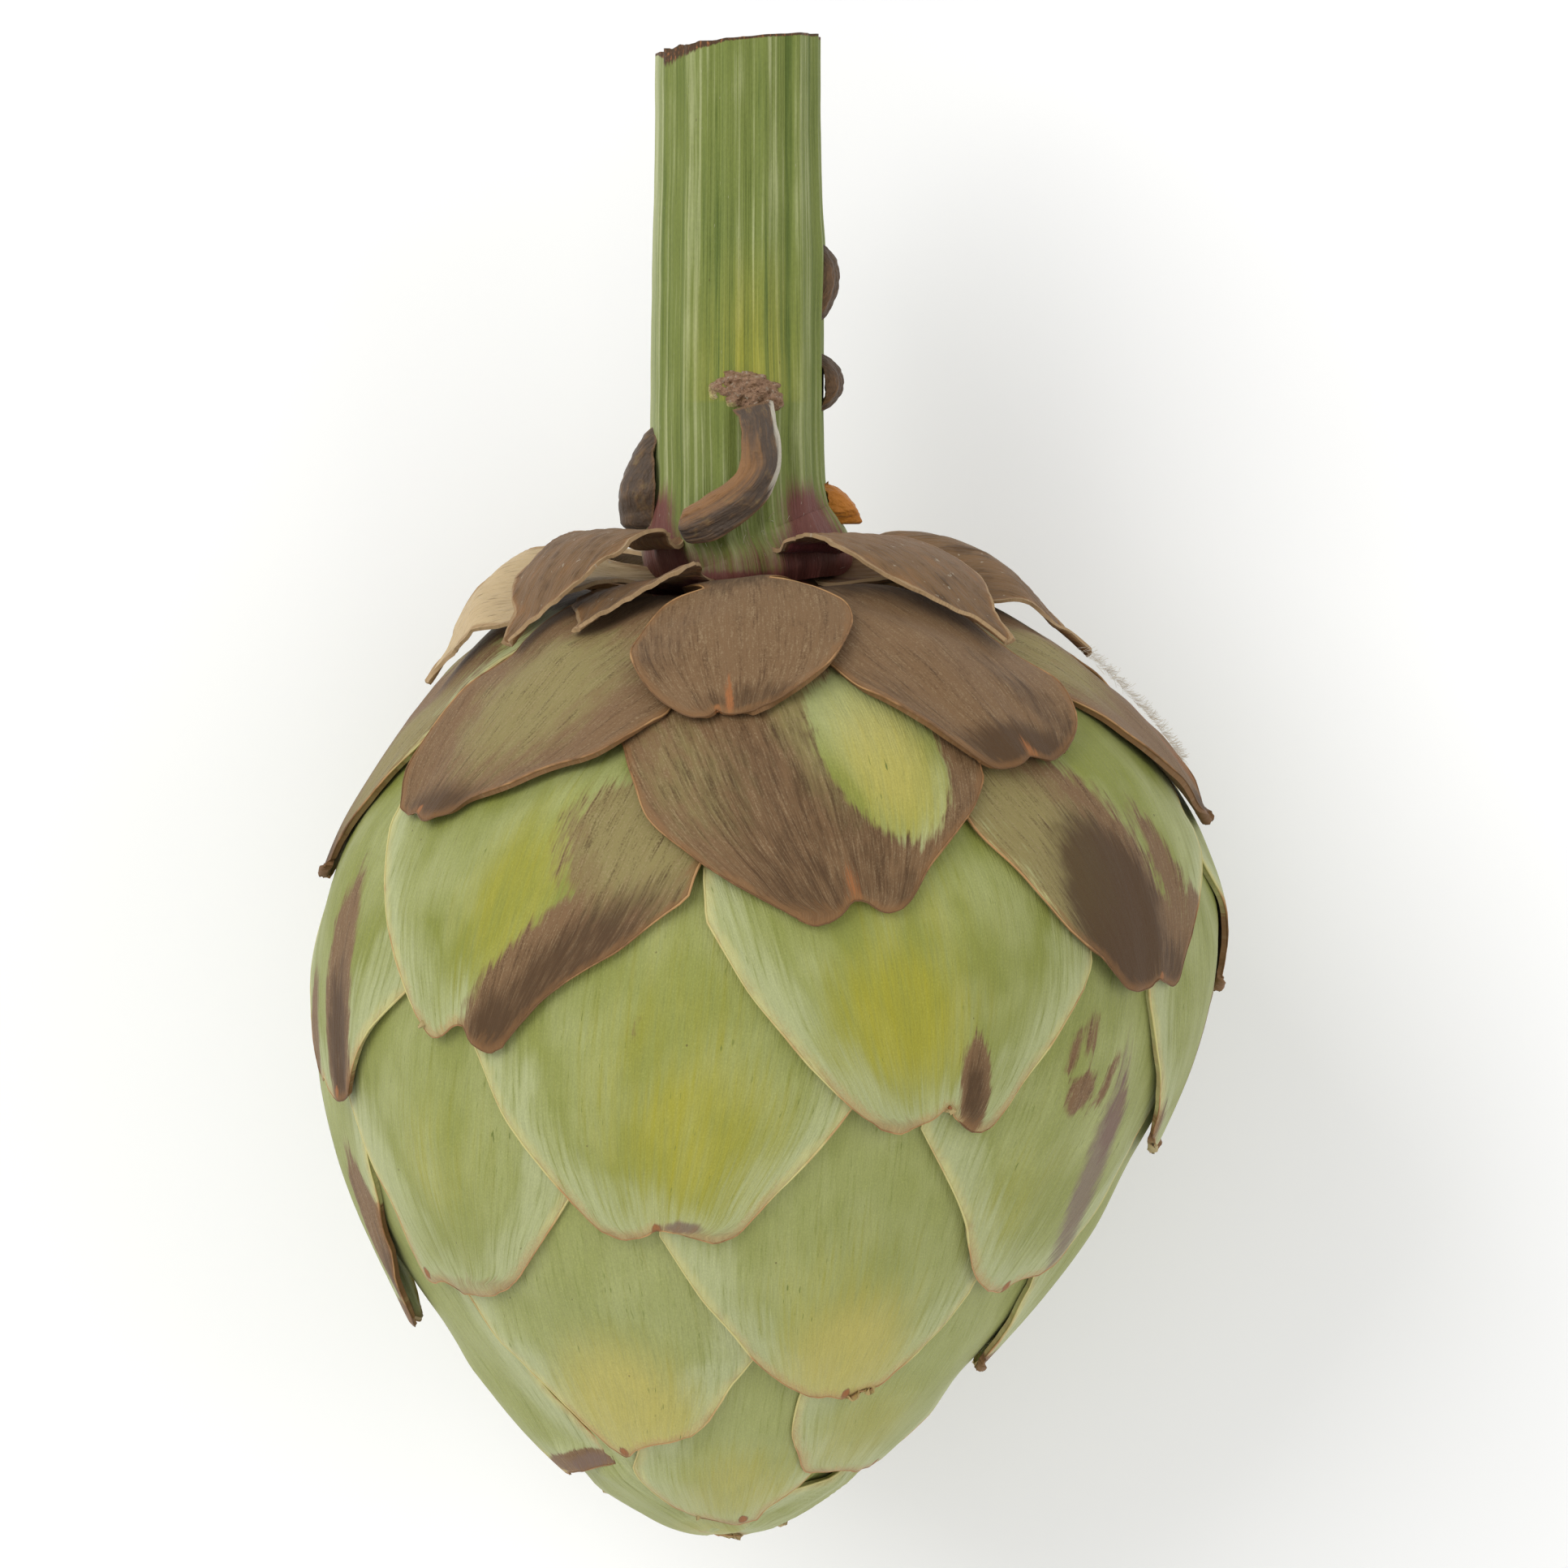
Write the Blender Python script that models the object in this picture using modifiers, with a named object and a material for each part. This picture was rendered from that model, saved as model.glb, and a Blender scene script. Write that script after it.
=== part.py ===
"""A globe artichoke, picked with a length of its stem and lying on its side.

The head is made of separate bracts. Each one is a sheet laid on the surface of the head and sunk
under every bract that covers it, so neighbours always clear each other. The stem points to +Y,
the closed tip to -Y, and the side with turn 0 faces up. Lengths are in millimetres until an
object is made, and its mesh is in metres.
"""

import math
import random
from collections import namedtuple

import bmesh
import bpy
import numpy as np
from mathutils import Matrix, Vector

MM = 0.001

# Whole object
HEAD_LENGTH = 112.0
NECK_RADIUS = 12.0   # nearer the axis than this, the outline's first part is the neck
STEM_LENGTH = 61.6
SEED = 11

# Flat rest spot on the underside
PRESSED = 1.7        # how much of the roundest line the flat spot takes off
PRESS_SLACK = 0.38   # bract surfaces this close to the flat spot join it

# Bract blades
GAP = 0.45           # clear space between one bract and the next
CROWD_GAP = 0.15     # added to that space for each layer further in
EDGE_THICK = 1.0
BASE_THICK = 1.7
MARGIN = 1.2         # a bract stays fully sunk this far past the edge of the one above
REACH = 14.0         # and comes back up to the surface over this distance
REACH_FADE = 45.0    # that distance shrinks over this last stretch of the head
LEAST_REACH = 0.28   # to this share of itself
LONGEST = 66.0
FIRST_BASE = 9.5     # along the outline, where the lowest bract is attached
BASE_STEP = 0.62     # each next bract is attached this much further up
BASE_WIDTH = 0.45    # of the widest half width
BASE_TAPER = 1.5     # above 1, the blade keeps its width longer before it narrows to the base
FULL_LENGTH = 60.0   # in a shorter bract the tip is shortened too
LIFT_LENGTH = 26.0   # a bract's tip stands off the head over this distance

# The head's outline: distance down from the shoulder, and radius, from the stem to the tip
OUTLINE = (
    (-6.0, 10.5), (-2.5, 10.9), (0.6, 12.4), (1.2, 15.2), (0.9, 19.5), (2.3, 25.3),
    (6.0, 31.5), (11.0, 37.0), (17.0, 42.0), (23.0, 46.2), (30.0, 49.9), (37.0, 52.0),
    (44.0, 52.6), (51.0, 51.9), (58.0, 50.2), (65.0, 47.6), (72.0, 44.2), (79.0, 39.9),
    (86.0, 34.6), (93.0, 28.4), (99.0, 22.8), (104.0, 17.2), (108.0, 11.4), (110.8, 6.0),
    (HEAD_LENGTH, 0.0),
)
# Sideways bend of the head's middle line: distance down from the shoulder, and shift to +X
BEND = (
    (-62.0, 0.0), (-10.0, 0.0), (0.0, 1.6), (17.0, 4.2), (30.0, 4.2), (42.0, 3.6), (56.0, 1.9),
    (70.0, -0.3), (84.0, -1.2), (100.0, -2.4), (112.0, -2.0),
)
# Half width of a bract as a share of its widest, by distance from the tip
BLADE = (
    (0.0, 0.22), (1.5, 0.30), (5.0, 0.47), (10.0, 0.68), (15.0, 0.84), (20.0, 0.93), (27.0, 1.0),
)
CELLS = (6, 8)       # of a blade's grid, across and lengthways
WIDE_CELLS = (8, 9)
WIDE_FROM = 19.0     # half width of the bracts that have the finer grid
DRIED_CELLS = (4, 6)
NOTCH = 0.7          # depth of the notch at a bract's tip
NOTCH_HALF = 1.6     # half width of that notch
CORNER = 1.6         # how much the tip's corners are rounded back
TIP_ONLY = 10        # how closely the notch and the corners keep to the tip
TIP_CROWDING = 1.25  # above 1, a blade's grid is finer towards the tip

# Stem: distance down from the shoulder, and radius
STEM_PROFILE = (
    (-STEM_LENGTH, 9.3), (-50.0, 9.35), (-38.0, 9.5), (-27.0, 9.7), (-20.0, 9.75), (-12.0, 9.75),
    (-6.0, 9.9), (-2.5, 10.0), (0.6, 9.8), (2.4, 9.2),
)
RIBS = 13
RIB_HEIGHT = 0.28
CUT_SLOPE = 0.11     # the cut end runs up to +X
STEM_ROUND = 39      # points round the stem
SCAR_TURN = math.radians(7.0)
SCAR_DOWN = -19.8
SCAR_HEIGHT = 1.5
SCAR_HALF = 4.2
SCAR_TALL = 2.2
CUT_STRETCH = 20.0   # the rings straighten out over this length below the cut

# The bracts of the upper side, from the shoulder to the tip:
# turn round the axis, tip distance, half width, lean of the base, lift of the tip, colour
SEEN = (
    (-6, 17.6, 13.2, 0, 0.5, "brown"),
    (36, 23.2, 13.6, -16, 0.6, "brown"),
    (-50, 28.9, 15.0, 22, 0.8, "brown"),
    (86, 29.6, 13.5, -30, 1.5, "brown"),
    (-90, 35.9, 16.0, 8, 1.3, "brown"),
    (10, 39.0, 22.0, -14, 0.5, "brown"),
    (57, 47.4, 22.8, -16, 0.6, "green"),
    (97, 49.0, 18.0, -4, 1.4, "green"),
    (-38, 53.3, 24.4, 10, 0.5, "green"),
    (-69, 60.4, 20.0, 5, 0.7, "green"),
    (25.5, 62.3, 23.4, -18, 0.4, "green"),
    (85, 66.9, 21.5, -20, 1.6, "green"),
    (-11, 74.6, 24.4, 0, 0.4, "green"),
    (-52, 80.8, 21.0, 8, 0.4, "green"),
    (49, 82.2, 23.0, 0, 0.4, "green"),
    (-90, 85.7, 18.0, 0, 2.0, "green"),
    (90, 92.3, 19.0, 0, 0.7, "green"),
    (28, 93.8, 22.4, -14, 0.4, "green"),
    (-29, 101.0, 21.0, 4, 0.4, "green"),
    (61, 103.3, 18.5, -16, 0.4, "green"),
    (-78, 103.9, 17.0, 0, 0.9, "green"),
    (15, 109.2, 16.5, -8, 0.3, "green"),
    (-62, 111.8, 13.0, 0, 0.2, "green"),
    (100, 111.5, 13.0, 0, 0.2, "green"),
)
# The underside: columns of bracts, each with its turn and the distance of its first tip
HIDDEN_COLUMNS = ((121, 26.0), (152, 17.5), (184, 34.5), (228, 22.0))
HIDDEN_ROWS = 5
ROW_STEP = 21.1
ROW_TURN = 2.5
TURN_JITTER = 3.0
TIP_JITTER = 1.2
LAST_TIP = 111.2
HIDDEN_LIFT = 0.2
BROWN_TO = 30.0      # rows with a tip nearer the shoulder than this are brown
# Half width of a bract of the underside by the distance of its tip
HIDDEN_WIDTH = (
    (17, 14.0), (30, 16.0), (40, 20.5), (54, 23.4), (76, 23.0), (90, 21.5), (102, 18.5), (110, 13.0),
)

# Dried bracts on the shoulder: turn, tip distance, half width, lean of the base, lift
DRIED = (
    (-53, 9.0, 7.6, 0, 3.6),
    (49, 8.8, 8.4, -8, 3.0),
    (-79, 13.0, 8.0, 8, 3.2),
    (86, 9.8, 8.4, -12, 3.8),
    (-27, 7.0, 6.0, 0, 1.0),
    (141, 9.5, 7.6, 0, 2.4),
    (-136, 10.5, 7.8, 0, 2.2),
)
DRIED_BASE = 3.2     # along the outline, on the side of the stem
DRIED_BASE_STEP = 1.1
DRIED_BASE_WIDTH = 0.24
DRIED_REACH = 8.0
DRIED_THICK = 0.8
HUMP_START = 0.12    # share of a dried bract that lies flat before it arches up
HUMP_SKEW = 0.8      # below 1, the arch is highest near the base

# Withered leaves on the stem: rows of distance down, turn, height off the stem and half width
STEM_LEAVES = {
    "stem_leaf_front": (
        (-17.6, 8, 0.9, 1.6), (-14.5, 10, 2.0, 1.7), (-11.0, 11, 2.2, 1.9), (-8.0, 2, 2.1, 2.1),
        (-5.4, -16, 1.9, 1.9), (-3.6, -38, 1.6, 1.2),
    ),
    "stem_leaf_upper": (
        (-37.6, 88, 0.0, 0.8), (-35.2, 90, 0.3, 2.0), (-32.0, 92, 0.6, 2.2), (-28.8, 92, 0.2, 0.8),
    ),
    "stem_leaf_right": (
        (-24.6, 90, 0.0, 1.2), (-22.6, 91, 0.7, 2.0), (-20.4, 93, 1.1, 1.8), (-18.4, 93, 0.4, 0.9),
    ),
    "stem_leaf_left": (
        (-16.4, -90, 0.0, 1.0), (-13.0, -92, 0.8, 2.6), (-9.0, -95, 2.0, 3.3), (-4.6, -97, 2.8, 2.2),
    ),
}
STEM_LEAF_THICK = 0.8
STEM_LEAF_CELLS = (3, 7)
STEM_LEAF_CURL = 0.25

# Inner bud: points round it, rings along it, and how far it keeps below the bracts
BUD_ROUND = 30
BUD_RINGS = 17
BUD_TIP_RINGS = (10.0, 6.0, 2.5)    # distances of the last rings from the head's tip
BUD_CHECK = 2.5
BUD_SINK = 0.4

COLOURS = {
    "green": (0.34, 0.43, 0.16),
    "brown": (0.20, 0.13, 0.08),
    "dried": (0.24, 0.14, 0.09),
    "stem": (0.36, 0.47, 0.17),
    "bud": (0.44, 0.50, 0.22),
    "withered": (0.10, 0.07, 0.05),
}

Bract = namedtuple("Bract", "name turn tip base width base_width lean lift kind")


def clear_scene():
    for obj in list(bpy.data.objects):
        bpy.data.objects.remove(obj, do_unlink=True)


def collection_named(name):
    made = bpy.data.collections.new(name)
    bpy.context.scene.collection.children.link(made)
    return made


def material_named(kind):
    """The matte plant material of one kind of piece."""
    found = bpy.data.materials.get(kind)
    if found:
        return found
    made = bpy.data.materials.new(kind)
    made.use_nodes = True
    shader = made.node_tree.nodes["Principled BSDF"]
    shader.inputs["Base Color"].default_value = (*COLOURS[kind], 1.0)
    shader.inputs["Roughness"].default_value = 0.6
    shader.inputs["Metallic"].default_value = 0.0
    made.diffuse_color = (*COLOURS[kind], 1.0)
    return made


def add_object(bm, name, kind, collection):
    mesh = bpy.data.meshes.new(name)
    bm.to_mesh(mesh)
    bm.free()
    mesh.materials.append(material_named(kind))
    mesh.shade_smooth()
    mesh.set_sharp_from_angle(angle=math.radians(40))
    obj = bpy.data.objects.new(name, mesh)
    collection.objects.link(obj)
    return obj


def curve_through(knots, steps=10):
    """Points of a smooth line through the knots."""
    knots = np.array(knots, float)
    padded = np.vstack((2 * knots[0] - knots[1], knots, 2 * knots[-1] - knots[-2]))
    f = np.linspace(0, 1, steps, endpoint=False)[:, None]
    spans = []
    for p0, p1, p2, p3 in zip(padded, padded[1:], padded[2:], padded[3:]):
        bend = 2 * p0 - 5 * p1 + 4 * p2 - p3
        twist = 3 * p1 - p0 - 3 * p2 + p3
        spans.append(0.5 * (2 * p1 + (p2 - p0) * f + bend * f ** 2 + twist * f ** 3))
    return np.vstack(spans + [knots[-1:]])


PROFILE = curve_through(OUTLINE)
ALONG = np.concatenate(([0], np.cumsum(np.hypot(*np.diff(PROFILE, axis=0).T))))
SLOPE = np.gradient(PROFILE, ALONG, axis=0)
SLOPE /= np.hypot(*SLOPE.T)[:, None]
WIDEST = PROFILE[:, 1].max()
REST_HEIGHT = WIDEST - PRESSED
BEND_LINE = curve_through(BEND)


def along_at(down):
    """How far along the outline, past the neck, lies a distance down from the shoulder."""
    shoulder = np.argmin(np.where(PROFILE[:, 1] > NECK_RADIUS, PROFILE[:, 0], HEAD_LENGTH))
    return float(np.interp(down, PROFILE[shoulder + 1:, 0], ALONG[shoulder + 1:]))


def radius_at(along):
    return np.interp(along, ALONG, PROFILE[:, 1])


def round_axis(down, turn, radius):
    """Points at a distance down from the shoulder, round the bent middle line."""
    shift = np.interp(down, BEND_LINE[:, 0], BEND_LINE[:, 1])
    return np.stack((shift + radius * np.sin(turn), -down, REST_HEIGHT + radius * np.cos(turn)), -1)


def place(turn, along, depth):
    """Points sunk by a depth below the head's surface."""
    down = np.interp(along, ALONG, PROFILE[:, 0])
    out = radius_at(along)
    slope_down = np.interp(along, ALONG, SLOPE[:, 0])
    slope_out = np.interp(along, ALONG, SLOPE[:, 1])
    return round_axis(down + slope_out * depth, turn, np.maximum(out - slope_down * depth, 0))


def pressed_depth(turn, along):
    """How far the flat rest spot pushes the layers in."""
    below = -place(turn, along, np.zeros_like(turn))[..., 2]
    return np.maximum(below - PRESS_SLACK, 0)


def make_bract(name, turn, tip, width, lean, lift, kind, base):
    tip = along_at(tip)
    base_width = DRIED_BASE_WIDTH if kind == "dried" else BASE_WIDTH
    return Bract(
        name, math.radians(turn), tip, max(base, tip - LONGEST), width, base_width * width,
        math.radians(lean), lift, kind,
    )


def all_bracts():
    """Every bract from the outermost to the innermost."""
    pick = random.Random(SEED)
    rows = list(SEEN)
    widths = np.array(HIDDEN_WIDTH, float)
    for turn, first in HIDDEN_COLUMNS:
        for row in range(HIDDEN_ROWS):
            tip = min(first + row * ROW_STEP + pick.uniform(-TIP_JITTER, TIP_JITTER), LAST_TIP)
            around = turn + row * ROW_TURN + pick.uniform(-TURN_JITTER, TURN_JITTER)
            width = float(np.interp(tip, *widths.T))
            kind = "brown" if tip < BROWN_TO else "green"
            rows.append((around, tip, width, 0, HIDDEN_LIFT, kind))
    rows.sort(key=lambda row: row[1])
    dried = [
        make_bract(f"dried_bract_{n}", *row, "dried", DRIED_BASE + DRIED_BASE_STEP * (n - 1))
        for n, row in enumerate(DRIED, 1)
    ]
    fresh = [
        make_bract(f"bract_{n:02d}", *row, FIRST_BASE + BASE_STEP * (n - 1))
        for n, row in enumerate(rows, 1)
    ]
    return dried + fresh


def half_width(bract, from_tip):
    """Half width of the blade at a distance from its tip."""
    length = bract.tip - bract.base
    squeeze = min(1.0, length / FULL_LENGTH)
    knots = np.array(BLADE) * (squeeze, bract.width)
    widest = knots[-1, 0]
    near_tip = np.interp(from_tip, *knots.T)
    share = np.clip((from_tip - widest) / (length - widest), 0, 1)
    return near_tip + (bract.base_width - bract.width) * share ** BASE_TAPER


def local(bract, turn, along):
    """A point's distance sideways from the bract's middle line, and from its tip."""
    from_tip = bract.tip - along
    share = np.clip(from_tip / (bract.tip - bract.base), 0, 1)
    around = turn - bract.turn - bract.lean * share
    around = (around + math.pi) % (2 * math.pi) - math.pi
    return around * radius_at(along), from_tip


def blade_thickness(bract, sideways, from_tip):
    share = np.clip(from_tip / (bract.tip - bract.base), 0, 1)
    middle = np.clip(1 - (sideways / half_width(bract, from_tip)) ** 2, 0, 1)
    if bract.kind == "dried":
        return np.full_like(sideways, DRIED_THICK)
    return EDGE_THICK + (BASE_THICK - EDGE_THICK) * share * middle


def covered(bract, turn, along):
    """1 under the bract and just past its edge, easing to 0 further out."""
    sideways, from_tip = local(bract, turn, along)
    beside = np.maximum(np.abs(sideways) - half_width(bract, from_tip), 0)
    before = np.maximum(-from_tip, 0)
    behind = np.maximum(from_tip - (bract.tip - bract.base), 0)
    outside = np.sqrt(beside ** 2 + before ** 2 + behind ** 2)
    reach = DRIED_REACH if bract.kind == "dried" else REACH
    reach = reach * np.clip((ALONG[-1] - along) / REACH_FADE, LEAST_REACH, 1)
    q = np.clip((outside - MARGIN) / reach, 0, 1)
    return (1 - q) ** 2 * (1 + 2 * q)


def layer_depth(above, turn, along):
    """Depth below the head's surface of what lies under the given bracts, and how bare it is."""
    depth = pressed_depth(turn, along)
    layers = np.zeros_like(turn)
    bare = np.ones_like(turn)
    for bract in above:
        cover = covered(bract, turn, along)
        depth = depth + cover * (blade_thickness(bract, *local(bract, turn, along)) + GAP)
        layers = layers + cover
        bare = bare * (1 - cover)
    return depth + CROWD_GAP * layers ** 2, bare


def lift_of(bract, from_tip):
    """How far the blade stands up from the head, by distance from its tip."""
    length = bract.tip - bract.base
    share = np.clip(from_tip / length, 0, 1)
    if bract.kind == "dried":
        arch = np.sin(math.pi * np.clip(1 + HUMP_START - share, 0, 1) ** HUMP_SKEW)
        return bract.lift * arch + DRIED_THICK + GAP
    return bract.lift * (1 - np.clip(from_tip / LIFT_LENGTH, 0, 1)) ** 2


def sheet(name, kind, points, thickness, cells, collection):
    """A blade from a grid of outer points, given a thickness inwards."""
    across, lengthways = cells
    bm = bmesh.new()
    bmesh.ops.create_grid(bm, x_segments=across, y_segments=lengthways, size=1.0)
    for vertex, point in zip(bm.verts, points):
        vertex.co = point * MM
    bmesh.ops.triangulate(bm, faces=bm.faces)
    obj = add_object(bm, name, kind, collection)
    most = float(np.max(thickness))
    group = obj.vertex_groups.new(name="thickness")
    for index, value in enumerate(thickness):
        group.add([index], float(value) / most, "REPLACE")
    solid = obj.modifiers.new("thickness", "SOLIDIFY")
    solid.thickness = most * MM
    solid.offset = -1.0
    solid.vertex_group = group.name
    return obj


def grid_places(cells):
    """Each grid vertex's place from -1 to 1 across and from 0 at the tip to 1 at the base."""
    bm = bmesh.new()
    bmesh.ops.create_grid(bm, x_segments=cells[0], y_segments=cells[1], size=1.0)
    places = np.array([vertex.co[:2] for vertex in bm.verts])
    bm.free()
    return places[:, 0], (places[:, 1] + 1) / 2


def blade_points(bract, across, lengthways):
    """Turn and distance along the outline for the places of a blade's grid."""
    length = bract.tip - bract.base
    from_tip = length * lengthways ** TIP_CROWDING
    at_tip = (1 - lengthways) ** TIP_ONLY
    corner = CORNER * np.abs(across) ** 3 * at_tip
    width = half_width(bract, from_tip)
    sideways = across * width
    notch = NOTCH * np.clip(1 - np.abs(sideways) / NOTCH_HALF, 0, 1) * at_tip
    along = bract.tip - from_tip - corner - notch
    turn = bract.turn + bract.lean * (from_tip / length) + sideways / radius_at(bract.tip - from_tip)
    return turn, along


def build_bract(bract, above, collection):
    cells = DRIED_CELLS if bract.kind == "dried" else WIDE_CELLS if bract.width > WIDE_FROM else CELLS
    turn, along = blade_points(bract, *grid_places(cells))
    sideways, from_tip = local(bract, turn, along)
    depth, bare = layer_depth(above, turn, along)
    points = place(turn, along, depth - lift_of(bract, from_tip) * bare)
    raised = np.maximum(-points[:, 2], 0)
    points[:, 2] += raised
    thickness = blade_thickness(bract, sideways, from_tip) - raised
    return sheet(bract.name, bract.kind, points, thickness, cells, collection)


def loft(name, kind, rings, collection):
    """A closed body through rings of points, with a fan at each end."""
    bm = bmesh.new()
    rows = [[bm.verts.new(point * MM) for point in ring] for ring in rings]
    for row, following in zip(rows, rows[1:]):
        for n, vertex in enumerate(row):
            corners = (vertex, row[n - 1], following[n - 1], following[n])
            bm.faces.new((corners[0], corners[1], corners[2]))
            bm.faces.new((corners[0], corners[2], corners[3]))
    for row, turned in ((rows[0], False), (rows[-1], True)):
        middle = bm.verts.new(sum((v.co for v in row), row[0].co * 0) / len(row))
        for n, vertex in enumerate(row):
            corners = (middle, row[n - 1], vertex)
            bm.faces.new(corners[::-1] if turned else corners)
    bmesh.ops.recalc_face_normals(bm, faces=bm.faces)
    return add_object(bm, name, kind, collection)


def build_stem(collection):
    profile = curve_through(STEM_PROFILE, steps=1)
    turn = np.linspace(0, 2 * math.pi, STEM_ROUND, endpoint=False)
    rings = []
    for down, radius in profile:
        share = np.clip((down + STEM_LENGTH) / CUT_STRETCH, 0, 1)
        slanted = down + CUT_SLOPE * radius * (1 - np.sin(turn)) * (1 - share)
        ribbed = radius + RIB_HEIGHT * np.cos(RIBS * turn)
        off = ((turn - SCAR_TURN + math.pi) % (2 * math.pi) - math.pi) * radius
        scar = SCAR_HEIGHT * np.exp(-(off / SCAR_HALF) ** 2 - ((down - SCAR_DOWN) / SCAR_TALL) ** 2)
        rings.append(round_axis(slanted, turn, ribbed + scar))
    return loft("stem", "stem", rings, collection)


def build_stem_leaf(name, rows, collection):
    """A curled strip that follows a line of places beside the stem."""
    across, lengthways = grid_places(STEM_LEAF_CELLS)
    line = curve_through(rows, steps=6)
    share = np.linspace(0, 1, len(line))
    down, turn, height, width = (np.interp(1 - lengthways, share, column) for column in line.T)
    radius = np.interp(down, *np.array(STEM_PROFILE).T) + RIB_HEIGHT + GAP + STEM_LEAF_THICK
    turn = np.radians(turn) + across * width / radius
    curl = STEM_LEAF_CURL * width * (1 - across ** 2)
    points = round_axis(down, turn, radius + height + curl)
    thickness = np.full(len(points), STEM_LEAF_THICK)
    return sheet(name, "withered", points, thickness, STEM_LEAF_CELLS, collection)


def build_bud(bracts, collection):
    """The inner bracts, closed into one bud under the others, with the base they grow from."""
    around = np.linspace(0, 2 * math.pi, BUD_ROUND, endpoint=False)
    half = math.pi / BUD_ROUND
    tip_rings = ALONG[-1] - np.array(BUD_TIP_RINGS)
    below = np.linspace(FIRST_BASE, tip_rings[0], BUD_RINGS)
    rings = []
    for along in np.append(below, tip_rings[1:]):
        where = np.full_like(around, along)
        nearby = [
            layer_depth(bracts, around + side, where + step)[0]
            for side in (-half, 0, half) for step in (-BUD_CHECK, 0, BUD_CHECK)
        ]
        rings.append(place(around, where, np.max(nearby, axis=0) + BUD_SINK))
    return loft("inner_bud", "bud", rings, collection)


def stand_on_origin(collection):
    """Moves every mesh so that the whole thing's box stands centred on the origin."""
    graph = bpy.context.evaluated_depsgraph_get()
    corners = []
    for obj in collection.objects:
        mesh = obj.evaluated_get(graph).to_mesh()
        points = np.array([vertex.co for vertex in mesh.vertices])
        corners += [points.min(axis=0), points.max(axis=0)]
    low, high = np.min(corners, axis=0), np.max(corners, axis=0)
    middle = Vector(((low[0] + high[0]) / 2, (low[1] + high[1]) / 2, low[2]))
    for obj in collection.objects:
        obj.data.transform(Matrix.Translation(-middle))


def main():
    clear_scene()
    collection = collection_named("artichoke")
    bracts = all_bracts()
    for n, bract in enumerate(bracts):
        build_bract(bract, bracts[:n], collection)
    build_bud(bracts, collection)
    build_stem(collection)
    for name, rows in STEM_LEAVES.items():
        build_stem_leaf(name, rows, collection)
    stand_on_origin(collection)


main()
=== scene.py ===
"""The looks of a globe artichoke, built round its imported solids.

The head's bracts are laid on the same outline as their solids, each one sunk under those that cover
it, with a finer grid, thinner margins and a surface that carries its own fibres and stains. The
stem points to +Y, the closed tip to -Y, and the side with turn 0 faces up. Shapes are worked out
in millimetres of the outline, and become metres of the frame when a mesh is made.
"""

import math
import random
from collections import namedtuple

import bpy
import numpy as np
from bpy.props import FloatProperty, FloatVectorProperty, IntProperty, PointerProperty
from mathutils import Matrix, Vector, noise


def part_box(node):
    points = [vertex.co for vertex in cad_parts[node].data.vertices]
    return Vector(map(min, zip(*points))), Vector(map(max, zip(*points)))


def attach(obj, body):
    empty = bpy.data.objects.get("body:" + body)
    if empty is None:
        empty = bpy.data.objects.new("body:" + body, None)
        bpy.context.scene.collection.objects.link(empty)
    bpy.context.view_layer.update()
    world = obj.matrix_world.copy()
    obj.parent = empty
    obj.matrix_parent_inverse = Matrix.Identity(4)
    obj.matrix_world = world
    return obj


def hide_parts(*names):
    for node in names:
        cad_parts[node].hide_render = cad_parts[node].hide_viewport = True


bl_info = {
    "name": "Artichoke",
    "version": (1, 0, 0),
    "blender": (4, 5, 0),
    "location": "3D View > Sidebar > Artichoke",
    "description": "Bracts, stem, spines and down of a globe artichoke on its packed solids",
    "category": "Object",
}

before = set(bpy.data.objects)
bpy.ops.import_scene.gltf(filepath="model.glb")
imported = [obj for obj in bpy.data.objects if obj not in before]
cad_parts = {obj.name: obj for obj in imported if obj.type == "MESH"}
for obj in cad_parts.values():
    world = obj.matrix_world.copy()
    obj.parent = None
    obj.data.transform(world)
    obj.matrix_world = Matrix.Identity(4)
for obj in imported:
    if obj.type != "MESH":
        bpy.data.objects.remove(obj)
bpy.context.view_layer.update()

MM = 0.001
HEAD_LENGTH = 112.0
NECK_RADIUS = 12.0
STEM_LENGTH = 61.6
# From the outline's own place to the frame's: the cut end of the stem gives the length of the way
TO_FRAME = np.array((-3.827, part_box("stem")[1].y / MM - STEM_LENGTH, 0.0))

# The head's outline: distance down from the shoulder, and radius, from the stem to the tip
OUTLINE = (
    (-6.0, 10.5), (-2.5, 10.9), (0.6, 12.4), (1.2, 15.2), (0.9, 19.5), (2.3, 25.3),
    (6.0, 31.5), (11.0, 37.0), (17.0, 42.0), (23.0, 46.2), (30.0, 49.9), (37.0, 52.0),
    (44.0, 52.6), (51.0, 51.9), (58.0, 50.2), (65.0, 47.6), (72.0, 44.2), (79.0, 39.9),
    (86.0, 34.6), (93.0, 28.4), (99.0, 22.8), (104.0, 17.2), (108.0, 11.4), (110.8, 6.0),
    (HEAD_LENGTH, 0.0),
)
# Sideways bend of the head's middle line: distance down from the shoulder, and shift to +X
BEND = (
    (-62.0, 0.0), (-10.0, 0.0), (0.0, 1.6), (17.0, 4.2), (30.0, 4.2), (42.0, 3.6), (56.0, 1.9),
    (70.0, -0.3), (84.0, -1.2), (100.0, -2.4), (112.0, -2.0),
)
# Half width of a bract as a share of its widest, by distance from the tip
BLADE = (
    (0.0, 0.23), (0.7, 0.30), (2.0, 0.37), (5.0, 0.475), (10.0, 0.68), (15.0, 0.84), (20.0, 0.93),
    (27.0, 1.0),
)
# How far the underside is pressed flat, and how much of that the bracts' own thickness takes up
PRESSED = 1.7
PRESS_SLACK = 0.38
# How far past its margin a bract still pushes down those under it, less so near the closed tip
SPILL = 0.4
REACH = 11.0
REACH_FADE = 45.0
LEAST_REACH = 0.3
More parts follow.
